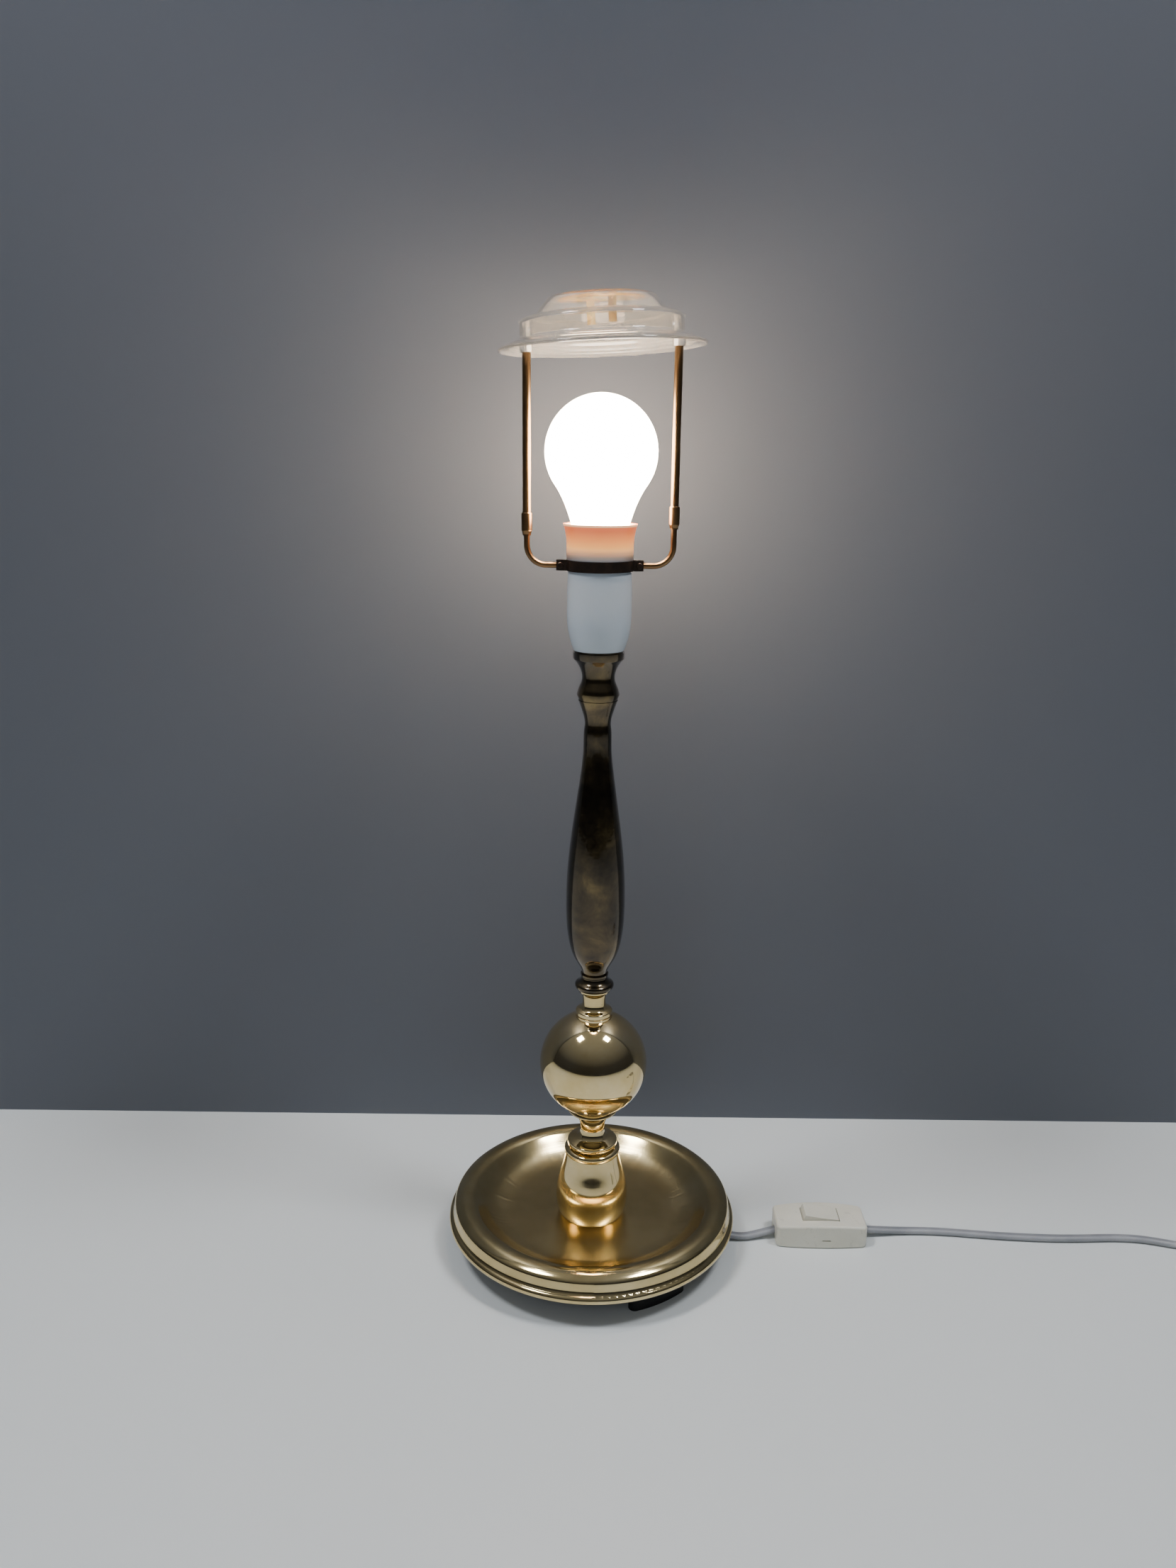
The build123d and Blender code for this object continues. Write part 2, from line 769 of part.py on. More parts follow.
# Two bared cores fan out from the flex to the terminals.
core_radius = 1.1
with BuildPart() as holder_leads:
    for side in (-1, 1):
        with BuildLine() as route:
            FilletPolyline(
                (0, side * 1.2, flex_top),
                (0, side * 1.2, flex_top + 1.8),
                (side * 7.0, 0, insert_low - 1.2),
                (side * 7.0, 0, insert_low + 5.0),
                radius=[1.2, 1.2],
            )
        wire = route.wires()[0]
        with BuildSketch(Plane(origin=wire @ 0, z_dir=wire % 0)):
            Circle(core_radius)
        sweep(path=wire)
finish(holder_leads, "holder_leads")

# Strain relief where the cord leaves the pan: a flanged sleeve round the flat cord.
with BuildPart() as cord_grommet:
    for low, high, grow in ((-4.0, cord_exit - cover_pan_radius, 2.3), (0, 1.6, 4.0), (-4.0, -1.4, 2.9)):
        with BuildSketch(Plane.YZ.offset(cover_pan_radius + low)):
            with Locations((0, cord_exit_height)):
                SlotOverall(cord_width + grow, cord_thickness + grow)
        extrude(amount=high - low)
    with BuildSketch(Plane.YZ.offset(cover_pan_radius - 4.0)):
        with Locations((0, cord_exit_height)):
            SlotOverall(cord_width, cord_thickness)
    extrude(amount=cord_exit - cover_pan_radius + 4.0, mode=Mode.SUBTRACT)
finish(cord_grommet, "cord_grommet")

# ---------------------------------------------------------------- shade frame
# Band: two pressed straps round the holder whose tabs grip the arms' ends.
band_inner = band_seat_radius + thread_clearance
tab_gap = arm_diameter / 2
rivet_radius = 1.0
rivet_reach = band_tab_reach - 2.2


def band_half(name, front):
    """One strap: half a ring with a straight tab at each end. The front strap lies on the -Y side."""
    with BuildPart() as strap:
        with BuildSketch(Plane.XY.offset(band_low)):
            Circle(band_inner + band_sheet)
            with Locations((0, front * (tab_gap + band_sheet / 2))):
                Rectangle(2 * band_tab_reach, band_sheet)
            Circle(band_inner, mode=Mode.SUBTRACT)
            with Locations((0, front * (tab_gap + band_inner))):
                Rectangle(2 * band_tab_reach + 2, 2 * band_inner, mode=Mode.INTERSECT)
        extrude(amount=band_height)
        with BuildSketch(Plane.XZ):
            with Locations((-rivet_reach, band_middle), (rivet_reach, band_middle)):
                Circle(rivet_radius)
        extrude(amount=band_inner, both=True, mode=Mode.SUBTRACT)
    finish(strap, name)


band_half("harp_band_front", -1)
band_half("harp_band_back", 1)

rivet_head = 0.7
with BuildPart() as harp_rivets:
    for face in (-1, 1):
        with BuildSketch(Plane.XZ.offset(face * (tab_gap + band_sheet))):
            with Locations((-rivet_reach, band_middle), (rivet_reach, band_middle)):
                Circle(rivet_radius * 1.7)
        extrude(amount=face * rivet_head)
    with BuildSketch(Plane.XZ):
        with Locations((-rivet_reach, band_middle), (rivet_reach, band_middle)):
            Circle(rivet_radius)
    extrude(amount=tab_gap + band_sheet, both=True)
    chamfer(harp_rivets.faces().filter_by(Axis.Y).sort_by(Axis.Y)[:2].edges(), length=0.3)
    chamfer(harp_rivets.faces().filter_by(Axis.Y).sort_by(Axis.Y)[-2:].edges(), length=0.3)
finish(harp_rivets, "harp_rivets")

# Arms, tubes and collets: the left side (-X) is clamped lower, the right side higher.
arm_curve = min(arm_bend, arm_reach - band_tab_reach - 1.0)  # the bend starts clear of the band's tab
for side, name in ((-1, "left"), (1, "right")):
    reach = side * arm_reach
    step = side * tilt_step
    with BuildPart() as harp_arm:
        with BuildLine() as route:
            FilletPolyline(
                (side * (band_inner + band_sheet + 0.6), 0, band_middle),
                (reach, 0, band_middle),
                (reach, 0, arm_top),
                radius=arm_curve,
            )
        wire = route.wires()[0]
        with BuildSketch(Plane(origin=wire @ 0, z_dir=wire % 0)):
            Circle(arm_diameter / 2)
        sweep(path=wire)
        with BuildSketch(Plane.XZ):
            with Locations((side * rivet_reach, band_middle)):
                Circle(rivet_radius)
        extrude(amount=arm_diameter, both=True, mode=Mode.SUBTRACT)
        chamfer(harp_arm.faces().sort_by(Axis.Z)[-1].edges(), length=0.4)
    finish(harp_arm, f"harp_arm_{name}")

    foot = tube_foot + step
    with BuildPart() as upper_tube:
        with BuildSketch(Plane.XY.offset(foot)):
            with Locations((reach, 0)):
                Circle(tube_diameter / 2)
                Circle(tube_bore / 2, mode=Mode.SUBTRACT)
        extrude(amount=tube_length)
    finish(upper_tube, f"upper_tube_{name}")

    # the collet's upper part goes round the tube, its tapered foot grips the arm
    collet_low = foot + collet_seat - collet_length
    with BuildPart() as collet:
        with BuildSketch(Plane.XY.offset(collet_low)):
            with Locations((reach, 0)):
                Circle(tube_diameter / 2)
        with BuildSketch(Plane.XY.offset(collet_low + collet_taper)):
            with Locations((reach, 0)):
                Circle(collet_diameter / 2 - 0.2)
        loft()
        with BuildSketch(Plane.XY.offset(collet_low + collet_taper)):
            with Locations((reach, 0)):
                Circle(collet_diameter / 2)
        extrude(amount=collet_length - collet_taper)
        chamfer(collet.faces().sort_by(Axis.Z)[-1].edges(), length=0.3)
        with BuildSketch(Plane.XY.offset(collet_low)):
            with Locations((reach, 0)):
                Circle(tube_bore / 2)
        extrude(amount=collet_length, mode=Mode.SUBTRACT)
        with BuildSketch(Plane.XY.offset(foot)):
            with Locations((reach, 0)):
                Circle(tube_diameter / 2 + 0.05)
        extrude(amount=collet_seat, mode=Mode.SUBTRACT)
    finish(collet, f"collet_{name}")

# Shade carrier: a clear stepped dome that leans with the uneven tubes. Its own frame has its origin at the
# brim's level on the lamp's axis; +X there points at the right tube.
lean = radians(carrier_tilt)
carrier_axis = Vector(-sin(lean), 0, cos(lean))
carrier_frame = Plane(origin=(0, 0, carrier_low), x_dir=(cos(lean), 0, sin(lean)), z_dir=carrier_axis)
carrier_section = Plane(origin=carrier_frame.origin, x_dir=carrier_frame.x_dir, z_dir=-carrier_frame.y_dir)
carrier_turn = Axis(carrier_frame.origin, carrier_axis)
boss_reach = arm_reach / cos(lean)
half_wall = carrier_wall / 2
carrier_side = (
    (carrier_lid_radius - 3.0, carrier_height - half_wall),
    (carrier_top_radius - half_wall, carrier_height - half_wall),
    (carrier_shoulder_radius - half_wall, carrier_shoulder_height - half_wall),
    (carrier_seat_radius - half_wall, carrier_shoulder_height - 1.6 - half_wall),
    (carrier_seat_radius - half_wall, carrier_brim_drop),
    (carrier_radius - half_wall, half_wall),
)


def side_height(radius):
    """Height of the middle of the carrier's wall at a radius."""
    for (inner, high), (outer, low) in zip(carrier_side, carrier_side[1:]):
        if inner <= radius < outer:
            return high + (low - high) * (radius - inner) / (outer - inner)
    return half_wall


with BuildPart() as carrier_body:
    with BuildSketch(carrier_section):
        with BuildLine():
            FilletPolyline(*carrier_side, radius=[1.5, 2.0, 2.2, 3.2])
            offset(amount=half_wall)
        make_face()
    revolve(axis=carrier_turn)
    # the lid's opening, with a rebate that the lid rests in
    with BuildSketch(carrier_frame.offset(carrier_height - 2 * carrier_wall)):
        Circle(carrier_lid_radius - 2.0)
    extrude(amount=3 * carrier_wall, mode=Mode.SUBTRACT)
    with BuildSketch(carrier_frame.offset(carrier_height - carrier_lid_lip)):
        Circle(carrier_lid_radius)
    extrude(amount=2 * carrier_wall, mode=Mode.SUBTRACT)
    # low ridges under the brim
    for ridge_radius in (46.5, 49.5):
        share = (ridge_radius - carrier_seat_radius) / (carrier_radius - carrier_seat_radius)
        with BuildSketch(carrier_section):
            with Locations((ridge_radius - half_wall, carrier_brim_drop * (1 - share) - 0.4)):
                Circle(0.8)
        revolve(axis=carrier_turn)
    # bosses that stand on the tubes, each with a pin inside its tube
    with BuildSketch(carrier_frame):
        with Locations((-boss_reach, 0), (boss_reach, 0)):
            Circle(boss_radius)
    extrude(amount=side_height(boss_reach))
    with BuildSketch(carrier_frame):
        with Locations((-boss_reach, 0), (boss_reach, 0)):
            Circle(boss_pin_radius)
    extrude(amount=-boss_pin_length)
finish(carrier_body, "carrier_body")

# Lid of the carrier: a heat-yellowed disc with two hanging legs, the near one hooked at its tip.
leg_width, leg_sheet, leg_length = carrier_leg
with BuildPart() as carrier_top:
    with BuildSketch(carrier_frame.offset(carrier_height - carrier_lid_lip)):
        Circle(carrier_lid_radius - 0.15)
    extrude(amount=carrier_lid_lip)
    with BuildSketch(carrier_frame.offset(carrier_height - carrier_lid_lip)):
        Circle(carrier_lid_radius - 2.15)
    extrude(amount=-carrier_wall / 2)
    leg_top = carrier_height - carrier_lid_lip
    with BuildSketch(carrier_frame.offset(leg_top)):
        with Locations(*carrier_leg_places):
            Rectangle(leg_width, leg_sheet)
    extrude(amount=-leg_length)
    hook_x, hook_y = carrier_leg_places[1]
    with BuildSketch(carrier_frame.offset(leg_top - leg_length)):
        with Locations((hook_x, hook_y - leg_sheet / 2)):
            Rectangle(leg_width, leg_sheet * 2)
    extrude(amount=1.3)
finish(carrier_top, "carrier_top")

# ---------------------------------------------------------------- bulb
neck_end_angle = radians(-35)
with BuildPart() as bulb_globe:
    for shift in (0, bulb_glass):
        round_radius = bulb_radius - shift
        shoulder = (round_radius * cos(neck_end_angle), bulb_middle + round_radius * sin(neck_end_angle))
        with BuildSketch(Plane.XZ):
            with BuildLine():
                rim = Line(
                    (bulb_neck_radius - shift, cap_top - 3.0 - shift), (bulb_neck_radius - shift, cap_top + 0.5)
                )
                neck = Spline(
                    rim @ 1,
                    (bulb_neck_radius + 3.4 - shift, cap_top + 0.46 * (shoulder[1] - cap_top)),
                    shoulder,
                    tangents=[(0.1, 1), (-sin(neck_end_angle), cos(neck_end_angle))],
                )
                dome = ThreePointArc(
                    neck @ 1,
                    (round_radius * cos(radians(30)), bulb_middle + round_radius * sin(radians(30))),
                    (0, bulb_middle + round_radius),
                )
                Polyline(dome @ 1, (0, cap_top - 3.0 - shift), rim @ 0)
            make_face()
        revolve(axis=Axis.Z, mode=Mode.SUBTRACT if shift else Mode.ADD)
finish(bulb_globe, "bulb_globe")

neck_inside = bulb_neck_radius - bulb_glass
stem_foot = cap_top - 3.0
stem_tip = cap_top + 24.0
bulb_stem = turned(
    [
        (0, stem_foot),
        (neck_inside, stem_foot),
        (neck_inside, stem_foot + 1.0),
        (5.0, stem_foot + 9.0),
        (2.4, stem_foot + 16.0),
        (2.4, stem_tip),
        (0, stem_tip),
    ]
)
finish(bulb_stem, "bulb_stem")

# Glowing wire held in an M over the glass stem.
with BuildPart() as bulb_filament:
    with BuildLine() as route:
        FilletPolyline(
            (-1.5, 0, stem_tip),
            (-1.5, 0, stem_tip + 3.0),
            (-13.0, 0, bulb_middle - 2.0),
            (-6.5, 0, bulb_middle + 5.0),
            (0, 0, bulb_middle - 1.0),
            (6.5, 0, bulb_middle + 5.0),
            (13.0, 0, bulb_middle - 2.0),
            (1.5, 0, stem_tip + 3.0),
            (1.5, 0, stem_tip),
            radius=1.0,
        )
    wire = route.wires()[0]
    with BuildSketch(Plane(origin=wire @ 0, z_dir=wire % 0)):
        Circle(0.35)
    sweep(path=wire)
finish(bulb_filament, "bulb_filament")

cap_inside = bulb_cap_radius - bulb_cap_sheet
bulb_cap = turned(
    [
        (cap_inside, cap_top),
        (bulb_cap_radius, cap_top),
        (bulb_cap_radius, cap_low + 3.0),
        (9.6, cap_low),
        (9.1, cap_low),
        (cap_inside, cap_low + 3.2),
    ]
)
finish(bulb_cap, "bulb_cap")
contact_height = 0.9
bulb_insulator = turned(
    [
        (0, bulb_foot + contact_height),
        (5.0, bulb_foot + contact_height),
        (9.1, cap_low),
        (9.1, cap_low + 1.5),
        (0, cap_low + 1.5),
    ]
)
finish(bulb_insulator, "bulb_insulator")
bulb_contact = turned(
    [
        (0, bulb_foot),
        (3.6, bulb_foot),
        (4.8, bulb_foot + contact_height),
        (0, bulb_foot + contact_height),
    ]
)
finish(bulb_contact, "bulb_contact")

# ---------------------------------------------------------------- free cord
def arc_radii(points):
    """The largest arc that each corner of a route has room for."""
    corners = [Vector(*point) for point in points]
    radii = []
    for before, corner, after in zip(corners, corners[1:], corners[2:]):
        turn = radians((corner - before).get_angle(after - corner))
        shorter = min((corner - before).length, (after - corner).length)
        radii.append(0.45 * shorter / tan(turn / 2))
    print("cord radii", [round(radius) for radius in radii])
    return radii


rest = cord_rest_height
switch_x, switch_y = switch_place
switch_left = switch_x - switch_length / 2
switch_right = switch_x + switch_length / 2
cord_inside_switch = switch_wall + 1.4
lead_route = [
    (cord_exit, 0, cord_exit_height),
    (73, -0.9, 6.9),
    (83, -3.4, 3.6),
    (94, -4.4, 2.0),
    (105, -2.2, 3.0),
    (switch_left + cord_inside_switch, switch_y, switch_split_height),
]
cord_lead = cord_tube(lead_route, arc_radii(lead_route))
finish(cord_lead, "cord_lead")

tail_route = [
    (switch_right - cord_inside_switch, switch_y, switch_split_height),
    (182, 2.3, 3.4),
    (196, 4.0, rest + 0.2),
    (213, 4.3, rest),
    (232, 2.7, rest),
    (247, 0.9, rest),
    (263, -0.6, rest),
    (282, -1.8, rest),
    (303, -1.9, rest),
    (325, -0.6, rest),
    (340, -1.0, rest),
    (352, -3.4, rest),
    (364, -7.2, rest),
    (377, -10.4, rest),
    (391, -12.4, rest),
    (404, -13.6, rest),
]
cord_tail = cord_tube(tail_route, arc_radii(tail_route))
finish(cord_tail, "cord_tail")

# The spare length is wound flat on the table, clear of the lamp.
coil_x, coil_y = coil_centre
coil_plane = Plane(origin=(coil_x, coil_y, 0), x_dir=(1, 0, 0), z_dir=(0, -1, 0))
with BuildPart() as cord_coil:
    with BuildSketch(coil_plane):
        with Locations((coil_mean_radius, coil_height / 2)):
            RectangleRounded(coil_width, coil_height, 2.4)
    revolve(axis=Axis((coil_x, coil_y, 0), (0, 0, 1)))
finish(cord_coil, "cord_coil")

plug_x, plug_y = plug_place
plug_middle = plug_thickness / 2
end_route = [
    (coil_x + 33.0, coil_y, coil_height - cord_thickness / 2 - 0.2),
    (441.6, -62, 8.0),
    (440.4, -75, 6.0),
    (436, -88, 3.2),
    (427.5, -98, 2.0),
    (416, -103.4, 3.0),
    (405, -104.3, 5.9),
    (plug_x + plug_neck_length, plug_y, plug_middle),
]
cord_end = cord_tube(end_route, arc_radii(end_route))
finish(cord_end, "cord_end")

# ---------------------------------------------------------------- inline switch
switch_frame = Plane(origin=(switch_x, switch_y, 0))
switch_side = Plane(origin=(switch_x, switch_y, 0), x_dir=(1, 0, 0), z_dir=(0, -1, 0))
half_length = switch_length / 2
switch_top_height = switch_height + switch_crown
pivot_height = switch_top_height - 2.5
pivot_radius = 1.0
opening = (rocker_length + 2 * rocker_clearance, rocker_width + 2 * rocker_clearance)
switch_screw_places = ((-21.0, -6.5), (21.0, 6.5))


def switch_outline(inset):
    """The housing's plan: square ends and gently bowed sides, moved inwards by the inset."""
    half, end, middle = half_length - inset, switch_end_width / 2 - inset, switch_width / 2 - inset
    with BuildLine() as outline:
        near = ThreePointArc((-half, -end), (0, -middle), (half, -end))
        far = ThreePointArc((half, end), (0, middle), (-half, end))
        Line(near @ 1, far @ 0)
        Line(far @ 1, near @ 0)
    return outline.edges()


# the cord's way through both ends of the housing, cut from its two halves
with BuildPart() as cord_way:
    with BuildSketch(Plane.YZ.offset(switch_left - 1)):
        with Locations((switch_y, switch_split_height)):
            SlotOverall(cord_width + 0.3, cord_thickness + 0.3)
    extrude(amount=switch_length + 2)

with BuildPart() as switch_bottom:
    with BuildSketch(switch_frame) as plan:
        make_face(switch_outline(0))
        fillet(plan.vertices(), 3.0)
    extrude(amount=switch_split_height)
    chamfer(switch_bottom.faces().sort_by(Axis.Z)[0].edges(), length=0.6)
    with BuildSketch(switch_frame.offset(switch_wall)) as plan:
        make_face(switch_outline(switch_wall))
        fillet(plan.vertices(), 1.6)
        with Locations(*switch_screw_places):
            Circle(3.4, mode=Mode.SUBTRACT)
    extrude(amount=switch_split_height, mode=Mode.SUBTRACT)
    with BuildSketch(switch_frame):
        with Locations(*switch_screw_places):
            Circle(2.7)
    extrude(amount=2.2, mode=Mode.SUBTRACT)
    with BuildSketch(switch_frame):
        with Locations(*switch_screw_places):
            Circle(1.4)
    extrude(amount=switch_split_height, mode=Mode.SUBTRACT)
    add(cord_way.part, mode=Mode.SUBTRACT)
finish(switch_bottom, "switch_bottom")

with BuildPart() as switch_top:
    with BuildSketch(switch_frame.offset(switch_split_height)) as plan:
        make_face(switch_outline(0))
        fillet(plan.vertices(), 3.0)
    extrude(amount=switch_top_height)
    with BuildSketch(switch_side):
        with BuildLine():
            crown = ThreePointArc(
                (-half_length - 1, switch_height), (0, switch_top_height), (half_length + 1, switch_height)
            )
            Polyline(crown @ 1, (half_length + 1, 0), (-half_length - 1, 0), crown @ 0)
        make_face()
    extrude(amount=switch_width, both=True, mode=Mode.INTERSECT)
    fillet(switch_top.faces().sort_by(Axis.Z)[-1].edges(), radius=1.4)
    with BuildSketch(switch_frame.offset(switch_split_height)) as plan:
        make_face(switch_outline(switch_wall))
        fillet(plan.vertices(), 1.6)
        with Locations(*switch_screw_places):
            Circle(3.4, mode=Mode.SUBTRACT)
    extrude(amount=switch_height - switch_wall - switch_split_height, mode=Mode.SUBTRACT)
    with BuildSketch(switch_frame.offset(switch_split_height)):
        Rectangle(*opening)
    extrude(amount=switch_top_height, mode=Mode.SUBTRACT)
    # saddles for the rocker's pin, open downwards
    with BuildSketch(switch_side):
        with Locations((0, pivot_height)):
            Circle(pivot_radius + 0.1)
        with Locations((0, pivot_height - 2)):
            Rectangle(2 * pivot_radius + 0.2, 4)
    extrude(amount=opening[1] / 2 + 2, both=True, mode=Mode.SUBTRACT)
    with BuildSketch(switch_frame.offset(switch_split_height)):
        with Locations(*switch_screw_places):
            Circle(1.25)
    extrude(amount=5.0, mode=Mode.SUBTRACT)
    # small snap window at the seam, near side and far side
    with BuildSketch(switch_frame.offset(switch_split_height)):
        with Locations((2.5, 0)):
            Rectangle(5.2, switch_width + 2)
    extrude(amount=0.7, mode=Mode.SUBTRACT)
    add(cord_way.part, mode=Mode.SUBTRACT)
finish(switch_top, "switch_top")

with BuildPart() as switch_screws:
    with BuildSketch(switch_frame.offset(2.2)):
        with Locations(*switch_screw_places):
            Circle(1.25)
    extrude(amount=switch_split_height + 5.0 - 2.2)
    with BuildSketch(switch_frame.offset(2.2)):
        with Locations(*switch_screw_places):
            Circle(2.4)
    extrude(amount=-1.6)
finish(switch_screws, "switch_screws")

# Rocker: ends are arcs about the pin, and it rests tipped with its lamp end raised.
tip = radians(rocker_tilt)
rocker_plane = Plane(
    origin=(switch_x, switch_y, pivot_height), x_dir=(cos(tip), 0, -sin(tip)), z_dir=(0, -1, 0)
)
end_radius = rocker_length / 2
rocker_rise = 4.3
rocker_drop = 2.8
with BuildPart() as switch_rocker:
    with BuildSketch(rocker_plane):
        with BuildLine():
            top_x = sqrt(end_radius**2 - rocker_rise**2)
            low_x = sqrt(end_radius**2 - rocker_drop**2)
            crease = Polyline((-top_x, rocker_rise), (0, rocker_rise - 0.4), (top_x, rocker_rise))
            right = ThreePointArc(crease @ 1, (end_radius, 0), (low_x, -rocker_drop))
            left = ThreePointArc((-low_x, -rocker_drop), (-end_radius, 0), crease @ 0)
            Line(right @ 1, left @ 0)
        make_face()
        Circle(pivot_radius + 0.1, mode=Mode.SUBTRACT)
    extrude(amount=rocker_width / 2, both=True)
finish(switch_rocker, "switch_rocker")

with BuildPart() as switch_pivot:
    with BuildSketch(switch_side):
        with Locations((0, pivot_height)):
            Circle(pivot_radius)
    extrude(amount=opening[1] / 2 + 1.8, both=True)
finish(switch_pivot, "switch_pivot")

with BuildPart() as switch_contacts:
    with BuildSketch(switch_frame.offset(switch_wall)):
        with Locations((-10, 0), (10, 0)):
            Rectangle(9, 5)
    extrude(amount=2.4)
    with BuildSketch(switch_frame.offset(switch_wall)):
        with Locations((0, 8)):
            Rectangle(24, 3)
    extrude(amount=1.6)
finish(switch_contacts, "switch_contacts")

# ---------------------------------------------------------------- plug
plug_frame = Plane(origin=(plug_x, plug_y, plug_middle), x_dir=(-1, 0, 0), z_dir=(0, 0, 1))
plug_side = Plane(origin=(plug_x, plug_y, plug_middle), x_dir=(-1, 0, 0), z_dir=(0, -1, 0))
pin_face = Plane(origin=(plug_x, plug_y, plug_middle), x_dir=(0, 1, 0), z_dir=(-1, 0, 0))
neck_end = cord_width / 2 + 1.2
neck_thin = cord_thickness / 2 + 1.2
with BuildPart() as plug_body:
    with BuildSketch(plug_frame) as plan:
        with BuildLine():
            Polyline(
                (-plug_neck_length, -neck_end),
                (0, -plug_neck_width / 2),
                (8, -plug_neck_width / 2),
                (20, -plug_width / 2),
                (plug_length, -plug_width / 2),
                (plug_length, plug_width / 2),
                (20, plug_width / 2),
                (8, plug_neck_width / 2),
                (0, plug_neck_width / 2),
                (-plug_neck_length, neck_end),
                close=True,
            )
        make_face()
        fillet(plan.vertices().group_by(Axis.X)[1:], radius=2.5)
    extrude(amount=plug_middle, both=True)
    with BuildSketch(plug_side):
        with BuildLine():
            Polyline(
                (-plug_neck_length, -neck_thin),
                (2, -plug_middle),
                (plug_length, -plug_middle),
                (plug_length, plug_middle),
                (2, plug_middle),
                (-plug_neck_length, neck_thin),
                close=True,
            )
        make_face()
    extrude(amount=plug_width, both=True, mode=Mode.INTERSECT)
    with BuildSketch(pin_face.offset(plug_length)):
        with Locations((-pin_spacing / 2, 0), (pin_spacing / 2, 0)):
            Circle(pin_diameter / 2 - pin_sleeve_wall)
    extrude(amount=-10.0, mode=Mode.SUBTRACT)
finish(plug_body, "plug_body")

with BuildPart() as plug_pins:
    with BuildSketch(pin_face.offset(plug_length - 10.0)):
        with Locations((-pin_spacing / 2, 0), (pin_spacing / 2, 0)):
            Circle(pin_diameter / 2 - pin_sleeve_wall)
    extrude(amount=10.0 + pin_length)
    with BuildSketch(pin_face.offset(plug_length + pin_sleeve_length)):
        with Locations((-pin_spacing / 2, 0), (pin_spacing / 2, 0)):
            Circle(pin_diameter / 2)
    extrude(amount=pin_length - pin_sleeve_length)
    fillet(plug_pins.faces().sort_by(Axis.X)[:2].edges(), radius=1.2)
finish(plug_pins, "plug_pins")

with BuildPart() as plug_sleeves:
    with BuildSketch(pin_face.offset(plug_length)):
        with Locations((-pin_spacing / 2, 0), (pin_spacing / 2, 0)):
            Circle(pin_diameter / 2 - pin_sleeve_step)
            Circle(pin_diameter / 2 - pin_sleeve_wall, mode=Mode.SUBTRACT)
    extrude(amount=pin_sleeve_length)
finish(plug_sleeves, "plug_sleeves")
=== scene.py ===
# Brass table lamp with a clear shade carrier, a lit bulb and a corded switch
import bpy, bmesh, json, math
from mathutils import Matrix, Vector


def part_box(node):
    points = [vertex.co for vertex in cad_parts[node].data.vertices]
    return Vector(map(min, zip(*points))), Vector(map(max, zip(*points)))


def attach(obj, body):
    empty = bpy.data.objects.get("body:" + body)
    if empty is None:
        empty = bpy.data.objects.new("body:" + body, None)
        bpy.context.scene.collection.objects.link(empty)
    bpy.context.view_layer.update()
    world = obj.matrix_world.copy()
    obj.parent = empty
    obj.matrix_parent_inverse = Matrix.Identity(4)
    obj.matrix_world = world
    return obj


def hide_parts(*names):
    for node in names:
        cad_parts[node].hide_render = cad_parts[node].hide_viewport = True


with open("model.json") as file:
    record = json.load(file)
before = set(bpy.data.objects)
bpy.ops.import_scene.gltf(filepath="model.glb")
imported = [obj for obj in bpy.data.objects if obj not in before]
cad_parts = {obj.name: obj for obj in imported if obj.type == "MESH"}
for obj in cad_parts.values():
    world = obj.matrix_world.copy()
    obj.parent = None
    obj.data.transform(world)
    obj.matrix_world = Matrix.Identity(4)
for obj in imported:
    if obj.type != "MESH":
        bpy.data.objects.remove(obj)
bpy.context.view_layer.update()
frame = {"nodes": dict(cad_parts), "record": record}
nodes = frame["nodes"]
bodies = frame["record"]["behaviour"]["bodies"]
bodyOf = {name: body for body, members in bodies.items() for name in members}
mm = 0.001
print("frame loaded:", len(nodes), "nodes")

# camera: place in millimetres, angles in degrees
camera = {
    "place": (-5.1, -669.6, 472.0), "pitchDown": 15.0, "roll": 0.65, "focalLength": 28.07,
    "sensor": 36.0, "nearest": 0.01, "farthest": 20,
}

cameraData = bpy.data.cameras.new("camera")
cameraData.sensor_width = camera["sensor"]
cameraData.lens = camera["focalLength"]
cameraData.clip_start, cameraData.clip_end = camera["nearest"], camera["farthest"]
cameraObject = bpy.data.objects.new("camera", cameraData)
bpy.context.scene.collection.objects.link(cameraObject)
cameraObject.matrix_world = (
    Matrix.Translation(Vector(camera["place"]) * mm)
    @ Matrix.Rotation(math.radians(90 - camera["pitchDown"]), 4, "X")
    @ Matrix.Rotation(math.radians(camera["roll"]), 4, "Z")
)
bpy.context.scene.camera = cameraObject
print("camera set")


# helpers that every piece uses
def hexColour(code):
    values = [int(code[i:i + 2], 16) / 255 for i in (1, 3, 5)]
    return (*[v / 12.92 if v <= 0.04045 else ((v + 0.055) / 1.055) ** 2.4 for v in values], 1.0)


def addNode(tree, kind, settings=None, links=None, stops=None):
    node = tree.nodes.new(kind)
    for key, value in (settings or {}).items():
        if isinstance(key, str) and hasattr(node, key):
            setattr(node, key, value)
        else:
            node.inputs[key].default_value = value
    for key, socket in (links or {}).items():
        tree.links.new(socket, node.inputs[key])
    if stops:  # (place, hex colour) pairs of a colour ramp
        ramp = node.color_ramp
        while len(ramp.elements) > 1:
            ramp.elements.remove(ramp.elements[-1])
        ramp.elements[0].position, ramp.elements[0].color = stops[0][0], hexColour(stops[0][1])
        for place, code in stops[1:]:
            ramp.elements.new(place).color = hexColour(code)
    return node


